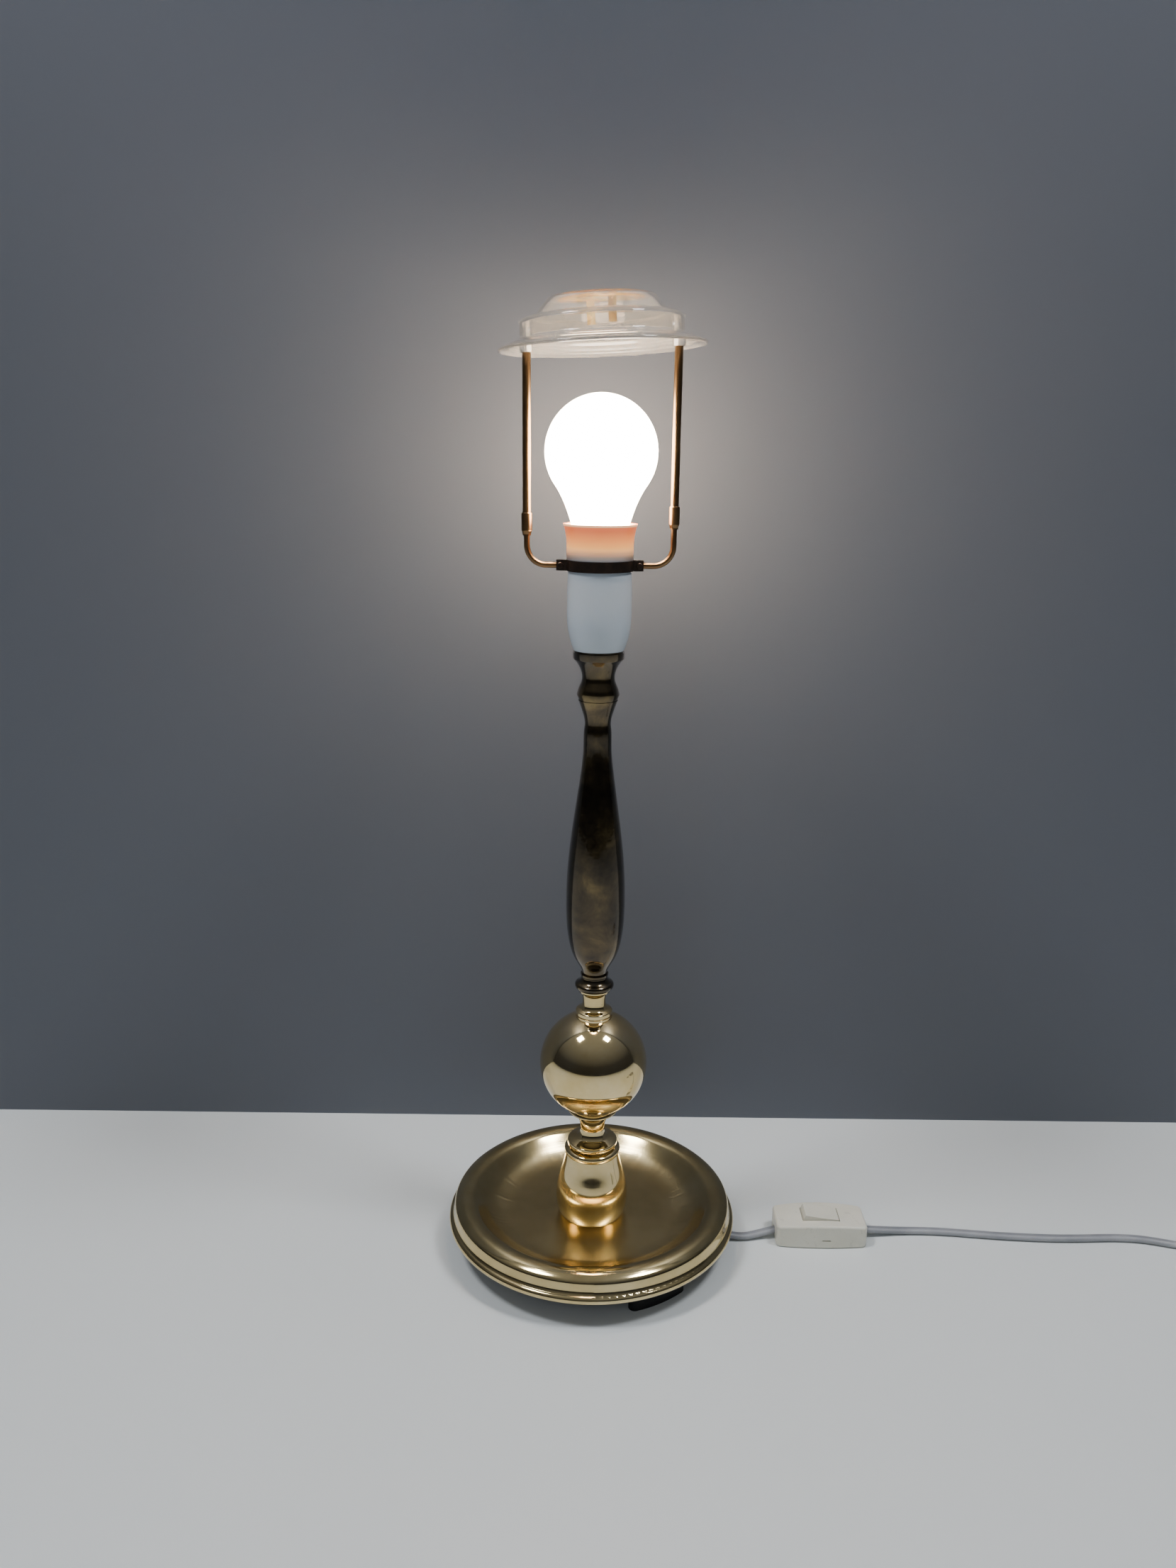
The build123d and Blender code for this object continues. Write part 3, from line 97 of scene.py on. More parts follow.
def startMaterial(name, settings):
    material = bpy.data.materials.new(name)
    material.use_nodes = True
    tree = material.node_tree
    shader = tree.nodes["Principled BSDF"]
    for key, value in settings.items():
        shader.inputs[key].default_value = hexColour(value) if isinstance(value, str) else value
    coords = addNode(tree, "ShaderNodeTexCoord")
    return material, tree, shader, coords.outputs["Object"]


def join(tree, socket, shader, name):
    tree.links.new(socket, shader.inputs[name])


def finishMesh(name, build, body, material, stands=(), smoothAngle=35):
    mesh = bpy.data.meshes.new(name)
    build.to_mesh(mesh)
    build.free()
    piece = bpy.data.objects.new(name, mesh)
    bpy.context.scene.collection.objects.link(piece)
    for face in mesh.polygons:
        face.use_smooth = True
    mesh.set_sharp_from_angle(angle=math.radians(smoothAngle))
    mesh.materials.append(material)
    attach(piece, body)
    if stands:
        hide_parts(*stands)
    return piece


# flat twin cord: two lobes with a groove between them, in millimetres; its routes are listed below
cord = {"width": 5.4, "thick": 3.4, "groove": 1.35, "lobeSteps": 8, "pointsPerTurn": 16, "stepsPerPoint": 6}
leadRoute = [
    (64, 0, 7.6), (73, -0.9, 6.9), (83, -3.4, 3.6),
    (94, -4.4, 2.0), (105, -2.2, 3.0), (118, 0.7, 5.0),
]
tailRoute = [
    (168, 0.7, 5.0), (182, 2.3, 3.4), (196, 4.0, 1.95), (213, 4.3, 1.75),
    (232, 2.7, 1.75), (247, 0.9, 1.75), (263, -0.6, 1.75), (282, -1.8, 1.75),
    (303, -1.9, 1.75), (325, -0.6, 1.75), (340, -1.0, 1.75), (352, -3.4, 1.75),
    (364, -7.2, 1.75), (377, -10.4, 1.75), (391, -12.4, 1.75), (402, -13.6, 1.75),
]
endRoute = [
    (441.6, -63, 10.2), (440.4, -76, 6.6), (436, -88, 3.2), (427.5, -98, 2.0), (416, -103.4, 3.0),
    (405, -104.3, 5.9), (394, -104, 6.85),
]
# a quadratic spline runs inside its control points by the share that 'slack' makes up for
coil = {"centre": (408, -50), "startAngle": 82.0, "turns": 7.228, "slack": 1.019}
# (turns from the start, radius, height): three turns in, three out on top of them, the rest above, then
# over the edge
coilSteps = [
    (0, 35.7, 1.75), (0.92, 35.7, 1.75), (1.10, 30.3, 1.75),
    (1.92, 30.3, 1.75), (2.10, 24.9, 1.75), (2.70, 24.9, 1.75),
    (2.90, 24.9, 5.15), (3.50, 24.9, 5.15), (3.68, 30.3, 5.15),
    (4.50, 30.3, 5.15), (4.68, 35.7, 5.15), (5.30, 35.7, 5.15),
    (5.50, 35.7, 8.55), (6.10, 35.7, 8.55), (6.28, 30.3, 8.55), (7.00, 30.3, 8.55),
    (7.15, 30.6, 11.9), (7.228, 33.0, 11.9),
]


def coilPoint(turn):
    for (t0, r0, z0), (t1, r1, z1) in zip(coilSteps, coilSteps[1:]):
        if turn <= t1:
            share = (turn - t0) / (t1 - t0)
            share = share * share * (3 - 2 * share)  # eases in and out of each step
            radius, height = r0 + (r1 - r0) * share, z0 + (z1 - z0) * share
            break
    angle = math.radians(coil["startAngle"] - 360 * turn)
    radius *= coil["slack"]
    return (
        coil["centre"][0] + radius * math.cos(angle), coil["centre"][1] + radius * math.sin(angle),
        height,
    )


coilCount = round(coil["turns"] * cord["pointsPerTurn"])
coilRoute = [coilPoint(coil["turns"] * i / coilCount) for i in range(coilCount + 1)]
mainRoute = tailRoute + coilRoute + endRoute


def smoothLine(name, route):
    curve = bpy.data.curves.new(name, "CURVE")
    curve.dimensions = "3D"
    spline = curve.splines.new("NURBS")
    spline.points.add(len(route) - 1)
    for point, place in zip(spline.points, route):
        point.co = (place[0] * mm, place[1] * mm, place[2] * mm, 1)
    spline.order_u = 3
    spline.use_endpoint_u = True
    curve.resolution_u = cord["stepsPerPoint"]
    return curve


def readLine(route):
    holder = bpy.data.objects.new("line", smoothLine("line", route))
    mesh = bpy.data.meshes.new_from_object(holder)
    line = [v.co.copy() for v in mesh.vertices]
    bpy.data.objects.remove(holder)
    bpy.data.meshes.remove(mesh)
    return line


def sweepCord(name, route, material, body, stands):
    line = readLine(route)
    half, lobe = cord["width"] / 2 * mm, cord["thick"] / 2 * mm
    middle = half - lobe
    outline = []  # right lobe, then left lobe, seen along the cord
    for side in (1, -1):
        for step in range(cord["lobeSteps"] + 1):
            turn = math.radians(-90 * side + 180 * step / cord["lobeSteps"])
            outline.append((side * middle + lobe * math.cos(turn), lobe * math.sin(turn)))
        outline.append((0, (lobe - cord["groove"] * mm) * (1 if side == 1 else -1)))
    build = bmesh.new()
    for index, place in enumerate(line):
        ahead = line[min(index + 1, len(line) - 1)] - line[max(index - 1, 0)]
        along = ahead.normalized()
        across = along.cross(Vector((0, 0, 1))).normalized()
        up = across.cross(along)
        points = [place + across * sideways + up * height for sideways, height in outline]
        if index == 0:
            verts = [build.verts.new(point) for point in points]
            edges = [build.edges.new((verts[i], verts[(i + 1) % len(verts)])) for i in range(len(verts))]
            build.faces.new(verts)
        else:
            made = bmesh.ops.extrude_edge_only(build, edges=edges)
            drawn = [part for part in made["geom"] if isinstance(part, bmesh.types.BMVert)]
            edges = [
                part for part in made["geom"]
                if isinstance(part, bmesh.types.BMEdge) and all(end in drawn for end in part.verts)
            ]
            # each drawn point stands over the old one that it came from
            drawnFrom = {}
            for vert in drawn:
                others = [edge.other_vert(vert) for edge in vert.link_edges]
                drawnFrom[next(other for other in others if other in verts)] = vert
            verts = [drawnFrom[old] for old in verts]
            for vert, point in zip(verts, points):
                vert.co = point
    build.faces.new(verts)
    bmesh.ops.recalc_face_normals(build, faces=build.faces)
    piece = finishMesh(name, build, body, material, stands, smoothAngle=60)
    return piece, line


def lineLength(line):
    return sum((b - a).length for a, b in zip(line, line[1:]))


# extruded PVC sheath: soft satin grey, with faint marks from handling
pvc, tree, shader, place = startMaterial(
    "pvcExtrudedGrey",
    {"Roughness": 0.42, "IOR": 1.52, "Subsurface Weight": 0.05, "Subsurface Radius": (0.004, 0.004, 0.004)},
)
marks = addNode(tree, "ShaderNodeTexNoise", {"Scale": 1 / (18 * mm), "Detail": 4.0}, {"Vector": place})
tint = addNode(
    tree, "ShaderNodeValToRGB", {}, {"Fac": marks.outputs["Fac"]},
    [(0.3, "#8b8d90"), (0.7, "#a3a4a6")],
)
join(tree, tint.outputs["Color"], shader, "Base Color")
grain = addNode(tree, "ShaderNodeTexNoise", {"Scale": 1 / (1.2 * mm), "Detail": 2.0}, {"Vector": place})
bump = addNode(
    tree, "ShaderNodeBump", {"Strength": 0.12, "Distance": 0.2 * mm},
    {"Height": grain.outputs["Fac"]},
)
join(tree, bump.outputs["Normal"], shader, "Normal")

leadCord, leadLine = sweepCord("leadCord", leadRoute, pvc, "lamp", ["cord_lead"])
mainCord, mainLine = sweepCord("mainCord", mainRoute, pvc, "lamp", ["cord_tail", "cord_coil", "cord_end"])
print("cords:", round(lineLength(leadLine), 4), round(lineLength(mainLine), 4))

# spun brass, polished and lacquered: mirror bright and warm, with faint tarnish clouds and rubbing marks
polishedBrass, tree, shader, place = startMaterial(
    "brassPolishedLacquered", {"Metallic": 1.0, "Coat Weight": 0.15, "Coat Roughness": 0.05},
)
clouds = addNode(
    tree, "ShaderNodeTexNoise", {"Scale": 1 / (25 * mm), "Detail": 5.0, "Roughness": 0.6},
    {"Vector": place},
)
tint = addNode(
    tree, "ShaderNodeValToRGB", {}, {"Fac": clouds.outputs["Fac"]},
    [(0.3, "#dcc185"), (0.5, "#e8d09a"), (0.72, "#f0dcae")],
)
join(tree, tint.outputs["Color"], shader, "Base Color")
rubs = addNode(
    tree, "ShaderNodeTexNoise", {"Scale": 1 / (4 * mm), "Detail": 6.0, "Roughness": 0.7},
    {"Vector": place},
)
gloss = addNode(
    tree, "ShaderNodeMapRange", {"From Min": 0.35, "From Max": 0.75, "To Min": 0.05, "To Max": 0.1},
    {"Value": rubs.outputs["Fac"]},
)
join(tree, gloss.outputs["Result"], shader, "Roughness")
bump = addNode(
    tree, "ShaderNodeBump", {"Strength": 0.02, "Distance": 0.1 * mm},
    {"Height": rubs.outputs["Fac"]},
)
join(tree, bump.outputs["Normal"], shader, "Normal")

# spun brass dish, sizes in millimetres: satin floor, bright crest and wall, faint wrinkles where the
# sheet was pulled; its real turning lines are too fine to show, so they are drawn this coarse
dish = {
    "satinInside": 60, "brightOutside": 72, "wrinkleFrom": 46, "wrinkleFull": 54, "wrinkleFade": 57,
    "wrinkleTo": 66, "wrinkleDepth": 1.2, "turningLines": 0.9,
}
dishBrass, tree, shader, place = startMaterial(
    "brassSpunSatin", {"Metallic": 1.0, "Coat Weight": 0.3, "Coat Roughness": 0.08},
)
flat = addNode(tree, "ShaderNodeVectorMath", {"operation": "MULTIPLY", 1: (1, 1, 0)}, {0: place})
radius = addNode(tree, "ShaderNodeVectorMath", {"operation": "LENGTH"}, {0: flat.outputs["Vector"]})
clouds = addNode(
    tree, "ShaderNodeTexNoise", {"Scale": 1 / (30 * mm), "Detail": 5.0, "Roughness": 0.6},
    {"Vector": place},
)
tint = addNode(
    tree, "ShaderNodeValToRGB", {}, {"Fac": clouds.outputs["Fac"]},
    [(0.3, "#cbb27c"), (0.5, "#d8c28c"), (0.72, "#e5d19f")],
)
join(tree, tint.outputs["Color"], shader, "Base Color")
satin = addNode(
    tree, "ShaderNodeMapRange",
    {
        "From Min": dish["satinInside"] * mm, "From Max": dish["brightOutside"] * mm,
        "To Min": 0.27, "To Max": 0.1,
    },
    {"Value": radius.outputs["Value"]},
)
join(tree, satin.outputs["Result"], shader, "Roughness")
turning = addNode(
    tree, "ShaderNodeTexNoise",
    {"noise_dimensions": "1D", "Scale": 1 / (dish["turningLines"] * mm), "Detail": 2.0},
    {"W": radius.outputs["Value"]},
)
direction = addNode(tree, "ShaderNodeVectorMath", {"operation": "NORMALIZE"}, {0: flat.outputs["Vector"]})
pulls = addNode(
    tree, "ShaderNodeTexNoise", {"Scale": 14.0, "Detail": 3.0, "Roughness": 0.55},
    {"Vector": direction.outputs["Vector"]},
)
sideways = addNode(tree, "ShaderNodeSeparateXYZ", {}, {0: direction.outputs["Vector"]})
sideShare = addNode(tree, "ShaderNodeMath", {"operation": "ABSOLUTE"}, {0: sideways.outputs["X"]})
band = addNode(
    tree, "ShaderNodeMapRange",
    {
        "interpolation_type": "SMOOTHSTEP", "From Min": dish["wrinkleFrom"] * mm,
        "From Max": dish["wrinkleFull"] * mm,
    },
    {"Value": radius.outputs["Value"]},
)
bandEnd = addNode(
    tree, "ShaderNodeMapRange",
    {
        "interpolation_type": "SMOOTHSTEP", "From Min": dish["wrinkleFade"] * mm,
        "From Max": dish["wrinkleTo"] * mm, "To Min": 1.0, "To Max": 0.0,
    },
    {"Value": radius.outputs["Value"]},
)
window = addNode(
    tree, "ShaderNodeMath", {"operation": "MULTIPLY"},
    {0: band.outputs["Result"], 1: bandEnd.outputs["Result"]},
)
sideWindow = addNode(
    tree, "ShaderNodeMath", {"operation": "MULTIPLY"},
    {0: window.outputs["Value"], 1: sideShare.outputs["Value"]},
)
wrinkles = addNode(
    tree, "ShaderNodeMath", {"operation": "MULTIPLY"},
    {0: sideWindow.outputs["Value"], 1: pulls.outputs["Fac"]},
)
wrinkleBump = addNode(
    tree, "ShaderNodeBump", {"Strength": 0.55, "Distance": dish["wrinkleDepth"] * mm},
    {"Height": wrinkles.outputs["Value"]},
)
lineBump = addNode(
    tree, "ShaderNodeBump", {"Strength": 0.1, "Distance": 0.15 * mm},
    {"Height": turning.outputs["Fac"], "Normal": wrinkleBump.outputs["Normal"]},
)
join(tree, lineBump.outputs["Normal"], shader, "Normal")

# dark lacquered brass of the column: near black brown, gold showing through in clouds, clear gloss on top
darkBrass, tree, shader, place = startMaterial(
    "brassBronzedLacquered",
    {"Metallic": 1.0, "Coat Weight": 0.7, "Coat Roughness": 0.06, "Coat IOR": 1.5},
)
clouds = addNode(
    tree, "ShaderNodeTexNoise",
    {"Scale": 1 / (22 * mm), "Detail": 5.0, "Roughness": 0.62, "Distortion": 0.4},
    {"Vector": place},
)
tint = addNode(
    tree, "ShaderNodeValToRGB", {}, {"Fac": clouds.outputs["Fac"]},
    [(0.3, "#2b241a"), (0.52, "#52452e"), (0.75, "#857148")],
)
join(tree, tint.outputs["Color"], shader, "Base Color")
rubs = addNode(
    tree, "ShaderNodeTexNoise", {"Scale": 1 / (5 * mm), "Detail": 6.0, "Roughness": 0.7},
    {"Vector": place},
)
gloss = addNode(
    tree, "ShaderNodeMapRange",
    {"From Min": 0.35, "From Max": 0.75, "To Min": 0.13, "To Max": 0.26},
    {"Value": rubs.outputs["Fac"]},
)
join(tree, gloss.outputs["Result"], shader, "Roughness")

# drawn brass tube, aged: dull brown gold, hardly clouded
agedBrass, tree, shader, place = startMaterial("brassAgedTube", {"Metallic": 1.0})
spots = addNode(
    tree, "ShaderNodeTexNoise", {"Scale": 1 / (9 * mm), "Detail": 3.0, "Roughness": 0.5},
    {"Vector": place},
)
tint = addNode(
    tree, "ShaderNodeValToRGB", {}, {"Fac": spots.outputs["Fac"]},
    [(0.3, "#7d6042"), (0.8, "#90724f")],
)
join(tree, tint.outputs["Color"], shader, "Base Color")
gloss = addNode(
    tree, "ShaderNodeMapRange", {"From Min": 0.3, "From Max": 0.8, "To Min": 0.28, "To Max": 0.33},
    {"Value": spots.outputs["Fac"]},
)
join(tree, gloss.outputs["Result"], shader, "Roughness")
bump = addNode(
    tree, "ShaderNodeBump", {"Strength": 0.04, "Distance": 0.1 * mm},
    {"Height": spots.outputs["Fac"]},
)
join(tree, bump.outputs["Normal"], shader, "Normal")


# a plain finish: colour clouds and a grain a tenth as large, with their size and depth in millimetres
def grainyFinish(name, settings, dark, light, size, roughLow, roughHigh, bumpDepth=0.0, bumpStrength=0.2):
    material, tree, shader, place = startMaterial(name, settings)
    clouds = addNode(
        tree, "ShaderNodeTexNoise", {"Scale": 1 / (size * mm), "Detail": 5.0, "Roughness": 0.6},
        {"Vector": place},
    )
    tint = addNode(
        tree, "ShaderNodeValToRGB", {}, {"Fac": clouds.outputs["Fac"]},
        [(0.32, dark), (0.7, light)],
    )
    join(tree, tint.outputs["Color"], shader, "Base Color")
    grain = addNode(
        tree, "ShaderNodeTexNoise", {"Scale": 10 / (size * mm), "Detail": 3.0}, {"Vector": place},
    )
    gloss = addNode(
        tree, "ShaderNodeMapRange",
        {"From Min": 0.3, "From Max": 0.7, "To Min": roughLow, "To Max": roughHigh},
        {"Value": grain.outputs["Fac"]},
    )
    join(tree, gloss.outputs["Result"], shader, "Roughness")
    if bumpDepth:
        bump = addNode(
            tree, "ShaderNodeBump", {"Strength": bumpStrength, "Distance": bumpDepth * mm},
            {"Height": grain.outputs["Fac"]},
        )
        join(tree, bump.outputs["Normal"], shader, "Normal")
    return material


# sand-cast iron: dull, near black and rough
castIron = grainyFinish("ironCastBare", {"Metallic": 0.6}, "#1f1d1c", "#3a3634", 6, 0.6, 0.85, 0.8, 0.5)
# pressed steel, enamelled: black with a soft sheen
blackSteel = grainyFinish(
    "steelBlackEnamelled", {"Metallic": 0.0, "Coat Weight": 0.3, "Coat Roughness": 0.2}, "#0c0c0d",
    "#17171a", 12, 0.35, 0.5, 0.2,
)
# moulded rubber: black and matt
blackRubber = grainyFinish("rubberMoulded", {}, "#0b0b0b", "#171717", 6, 0.7, 0.9, 0.3)
# moulded nylon: black with a low sheen
blackPlastic = grainyFinish("nylonMoulded", {}, "#101011", "#1c1c1e", 6, 0.4, 0.55, 0.2)
# zinc-plated steel: bright grey with fine grain
zincSteel = grainyFinish("steelZincPlated", {"Metallic": 1.0}, "#8f9498", "#c2c7ca", 3, 0.22, 0.4, 0.1)
# nickel-plated brass: warm silver
nickel = grainyFinish("brassNickelPlated", {"Metallic": 1.0}, "#a8a49a", "#cfcabf", 4, 0.15, 0.32, 0.1)
# lacquered steel band: dark brown, low sheen
brownSteel = grainyFinish(
    "steelBrownLacquered", {"Metallic": 0.7, "Coat Weight": 0.2, "Coat Roughness": 0.3}, "#1d1510",
    "#35271d", 5, 0.35, 0.5, 0.2,
)
# moulded thermoset: white with a hard gloss, its colour painted a darker blue-grey for the shade it sits in
whitePlasticShadePainted = grainyFinish(
    "thermosetWhiteShadePainted",
    {
        "IOR": 1.5, "Coat Weight": 0.25, "Coat Roughness": 0.1, "Subsurface Weight": 0.12,
        "Subsurface Radius": (0.004, 0.003, 0.002),
    },
    # painted shade: the white darkened to blue-grey
    "#c3ccd2", "#ccd4d9", 50, 0.2, 0.26,
)
# pressed black glass under the bulb's cap: deep and glossy
blackGlass = grainyFinish("glassBlackCapFoot", {"IOR": 1.52}, "#07070a", "#101014", 3, 0.05, 0.12)
# clear glass of the stem: see-through and sharp
clearGlass = startMaterial(
    "glassClearStem",
    {"Base Color": "#f6fbff", "Transmission Weight": 1.0, "Roughness": 0.02, "IOR": 1.52},
)[0]
# tungsten wire, white hot
filament = startMaterial(
    "tungstenGlowing",
    {"Base Color": "#ffcf9a", "Emission Color": "#ffb066", "Emission Strength": 30.0, "Roughness": 0.5},
)[0]
# moulded PVC: soft white, low sheen
plugPvc = grainyFinish(
    "pvcWhiteMoulded",
    {"IOR": 1.52, "Subsurface Weight": 0.08, "Subsurface Radius": (0.003, 0.003, 0.002)}, "#d4d3cd",
    "#e4e3dd", 15, 0.35, 0.5, 0.2, 0.12,
)
# moulded nylon sleeves on the pins: black, smooth
sleevePlastic = grainyFinish("nylonBlackSleeve", {}, "#121212", "#1e1e1e", 4, 0.35, 0.45)

# moulded urea of the switch, handled for years: cream, with grey smudges and a softened gloss
creamPlastic, tree, shader, place = startMaterial(
    "ureaCreamMoulded",
    {
        "IOR": 1.5, "Subsurface Weight": 0.1, "Subsurface Radius": (0.004, 0.003, 0.002),
        "Coat Weight": 0.1, "Coat Roughness": 0.2,
    },
)
base = addNode(tree, "ShaderNodeTexNoise", {"Scale": 1 / (20 * mm), "Detail": 3.0}, {"Vector": place})
tint = addNode(
    tree, "ShaderNodeValToRGB", {}, {"Fac": base.outputs["Fac"]},
    [(0.3, "#dad6c4"), (0.7, "#e3dfce")],
)
smudge = addNode(
    tree, "ShaderNodeTexNoise",
    {"Scale": 1 / (7 * mm), "Detail": 7.0, "Roughness": 0.72, "Distortion": 0.8}, {"Vector": place},
)
dirt = addNode(
    tree, "ShaderNodeMapRange", {"From Min": 0.58, "From Max": 0.74, "To Max": 0.45},
    {"Value": smudge.outputs["Fac"]},
)
grimy = addNode(
    tree, "ShaderNodeMix", {"data_type": "RGBA", 7: hexColour("#8d8671")},
    {0: dirt.outputs["Result"], 6: tint.outputs["Color"]},
)
join(tree, grimy.outputs[2], shader, "Base Color")
gloss = addNode(
    tree, "ShaderNodeMapRange", {"From Min": 0.3, "From Max": 0.7, "To Min": 0.28, "To Max": 0.45},
    {"Value": smudge.outputs["Fac"]},
)
join(tree, gloss.outputs["Result"], shader, "Roughness")

# clear carrier: moulded polycarbonate, hardly milky, so its edges catch the light of the bulb
clearPlastic, tree, shader, place = startMaterial(
    "polycarbonateClearMoulded",
    {"Base Color": "#fffaf2", "Transmission Weight": 0.9, "IOR": 1.42, "Coat Weight": 0.1},
)
haze = addNode(tree, "ShaderNodeTexNoise", {"Scale": 1 / (12 * mm), "Detail": 5.0}, {"Vector": place})
gloss = addNode(
    tree, "ShaderNodeMapRange", {"From Min": 0.3, "From Max": 0.7, "To Min": 0.01, "To Max": 0.05},
    {"Value": haze.outputs["Fac"]},
)
join(tree, gloss.outputs["Result"], shader, "Roughness")

# lid yellowed by the bulb's heat: amber, strongest at its rim
lid = {"edge": 25, "blotch": 14, "uneven": 12}  # millimetres
lidMiddle = (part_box("carrier_top")[0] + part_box("carrier_top")[1]) / 2
amberPlastic, tree, shader, place = startMaterial(
    "polycarbonateHeatYellowed",
    {
        "Transmission Weight": 0.65, "IOR": 1.46, "Subsurface Weight": 0.1,
        "Subsurface Radius": (0.003, 0.002, 0.001),
    },
)
centred = addNode(tree, "ShaderNodeVectorMath", {"operation": "SUBTRACT", 1: tuple(lidMiddle)}, {0: place})
flat = addNode(
    tree, "ShaderNodeVectorMath", {"operation": "MULTIPLY", 1: (1, 1, 0)},
    {0: centred.outputs["Vector"]},
)
radius = addNode(tree, "ShaderNodeVectorMath", {"operation": "LENGTH"}, {0: flat.outputs["Vector"]})
blotch = addNode(
    tree, "ShaderNodeTexNoise", {"Scale": 1 / (lid["blotch"] * mm), "Detail": 4.0},
    {"Vector": place},
)
spread = addNode(
    tree, "ShaderNodeMath",
    {"operation": "MULTIPLY_ADD", 1: lid["uneven"] * mm, 2: -lid["uneven"] / 2 * mm},
    {0: blotch.outputs["Fac"]},
)
uneven = addNode(
    tree, "ShaderNodeMath", {"operation": "ADD"},
    {0: radius.outputs["Value"], 1: spread.outputs["Value"]},
)
scaled = addNode(
    tree, "ShaderNodeMath", {"operation": "DIVIDE", 1: lid["edge"] * mm},
    {0: uneven.outputs["Value"]},
)
tint = addNode(
    tree, "ShaderNodeValToRGB", {}, {"Fac": scaled.outputs["Value"]},
    [(0.0, "#fff4d6"), (0.3, "#ffe3a0"), (0.65, "#ffcf5c"), (1.0, "#fbbd33")],
)
join(tree, tint.outputs["Color"], shader, "Base Color")
haze = addNode(
    tree, "ShaderNodeMapRange", {"From Min": 0.3, "From Max": 0.7, "To Min": 0.12, "To Max": 0.3},
    {"Value": blotch.outputs["Fac"]},
)
join(tree, haze.outputs["Result"], shader, "Roughness")

# blown opal glass, switched on: an even warm white
bulb = {"glow": 60.0, "dimmest": 0.94, "brightest": 1.04, "colour": "#ffe8cd"}
litGlass, tree, shader, place = startMaterial(
    "glassOpalLit",
    {
        "Base Color": "#fff8ee", "Roughness": 0.25, "Emission Color": bulb["colour"],
        "Emission Strength": bulb["glow"],
    },
)
cloud = addNode(tree, "ShaderNodeTexNoise", {"Scale": 1 / (30 * mm), "Detail": 2.0}, {"Vector": place})
glow = addNode(
    tree, "ShaderNodeMapRange",
    {
        "From Min": 0.3, "From Max": 0.7, "To Min": bulb["glow"] * bulb["dimmest"],
        "To Max": bulb["glow"] * bulb["brightest"],
    },
    {"Value": cloud.outputs["Fac"]},
)
join(tree, glow.outputs["Result"], shader, "Emission Strength")

# white skirt of the holder, lit through by the bulb in painted light: a painted peach glow at the lip,
# orange below, then the white painted blue-grey with shade at the band
skirt = {"low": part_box("harp_band_front")[1].z, "high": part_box("holder_ring")[1].z, "glow": 1.1}
paintedGlowPlastic, tree, shader, place = startMaterial(
    "thermosetWhitePaintedGlow",
    {
        "Roughness": 0.28, "IOR": 1.5, "Coat Weight": 0.2, "Coat Roughness": 0.1,
        "Subsurface Weight": 0.2, "Subsurface Radius": (0.006, 0.003, 0.0015),
    },
)
parts = addNode(tree, "ShaderNodeSeparateXYZ", {}, {0: place})
height = addNode(
    tree, "ShaderNodeMapRange", {"From Min": skirt["low"], "From Max": skirt["high"]},
    {"Value": parts.outputs["Z"]},
)
# painted light and shade in the colour: blue-grey shade at the band, orange and peach bulb light up to the
# lip
tint = addNode(
    tree, "ShaderNodeValToRGB", {}, {"Fac": height.outputs["Result"]},
    [(0.0, "#a3adb8"), (0.2, "#c9b8a8"), (0.4, "#e8b070"), (1.0, "#d07040")],
)
join(tree, tint.outputs["Color"], shader, "Base Color")
# painted glow of the bulb's light through the plastic, rising with height
glow = addNode(
    tree, "ShaderNodeValToRGB", {}, {"Fac": height.outputs["Result"]},
    [
        (0.0, "#15110f"), (0.12, "#6a4a30"), (0.35, "#f7a04a"), (0.6, "#ee8038"), (0.85, "#d05a30"),
        (0.93, "#d8643c"), (0.96, "#ffd2a0"),
    ],
)
join(tree, glow.outputs["Color"], shader, "Emission Color")
shader.inputs["Emission Strength"].default_value = skirt["glow"]
print("finishes made")

finishOf = {
    "base_dish": dishBrass,
    "pedestal_bell": polishedBrass, "pedestal_ring": polishedBrass, "lower_spool": polishedBrass,
    "ball_lower_half": polishedBrass, "ball_upper_half": polishedBrass, "upper_spool": polishedBrass,
    "column_foot_ring": darkBrass, "column_body": darkBrass, "holder_washer": darkBrass,
    "base_weight": castIron, "bottom_cover": blackSteel, "foot_pads": blackRubber,
    "cord_grommet": blackPlastic,
    "harp_band_front": brownSteel, "harp_band_back": brownSteel, "harp_rivets": brownSteel,
    "harp_arm_left": agedBrass, "harp_arm_right": agedBrass,
    "upper_tube_left": agedBrass, "upper_tube_right": agedBrass,
    "collet_left": agedBrass, "collet_right": agedBrass,
    "holder_body": whitePlasticShadePainted, "holder_insert": whitePlasticShadePainted, "holder_ring": paintedGlowPlastic,
    "screw_shell": nickel, "center_contact": nickel, "bulb_cap": nickel, "bulb_contact": nickel,
    "switch_contacts": nickel,
    "bulb_globe": litGlass, "bulb_stem": clearGlass, "bulb_filament": filament,
    "bulb_insulator": blackGlass,
    "carrier_body": clearPlastic, "carrier_top": amberPlastic,
    "inner_flex": pvc, "holder_leads": pvc, "cord_lead": pvc, "cord_tail": pvc, "cord_coil": pvc,
    "cord_end": pvc,
    "switch_top": creamPlastic, "switch_bottom": creamPlastic, "switch_rocker": creamPlastic,
    "plug_body": plugPvc, "plug_sleeves": sleevePlastic,
}
for name, node in nodes.items():
    for slot in node.material_slots:
        slot.material = finishOf.get(name, zincSteel)


# turned and bent pieces: the node's own surface, its points merged, shaded smooth between its edges
def smoothCopy(name, angle=32):
    build = bmesh.new()
    build.from_mesh(nodes[name].data)
    bmesh.ops.remove_doubles(build, verts=build.verts, dist=0.000005)
    return finishMesh(name + "_smooth", build, bodyOf[name], finishOf.get(name, zincSteel), [name], angle)


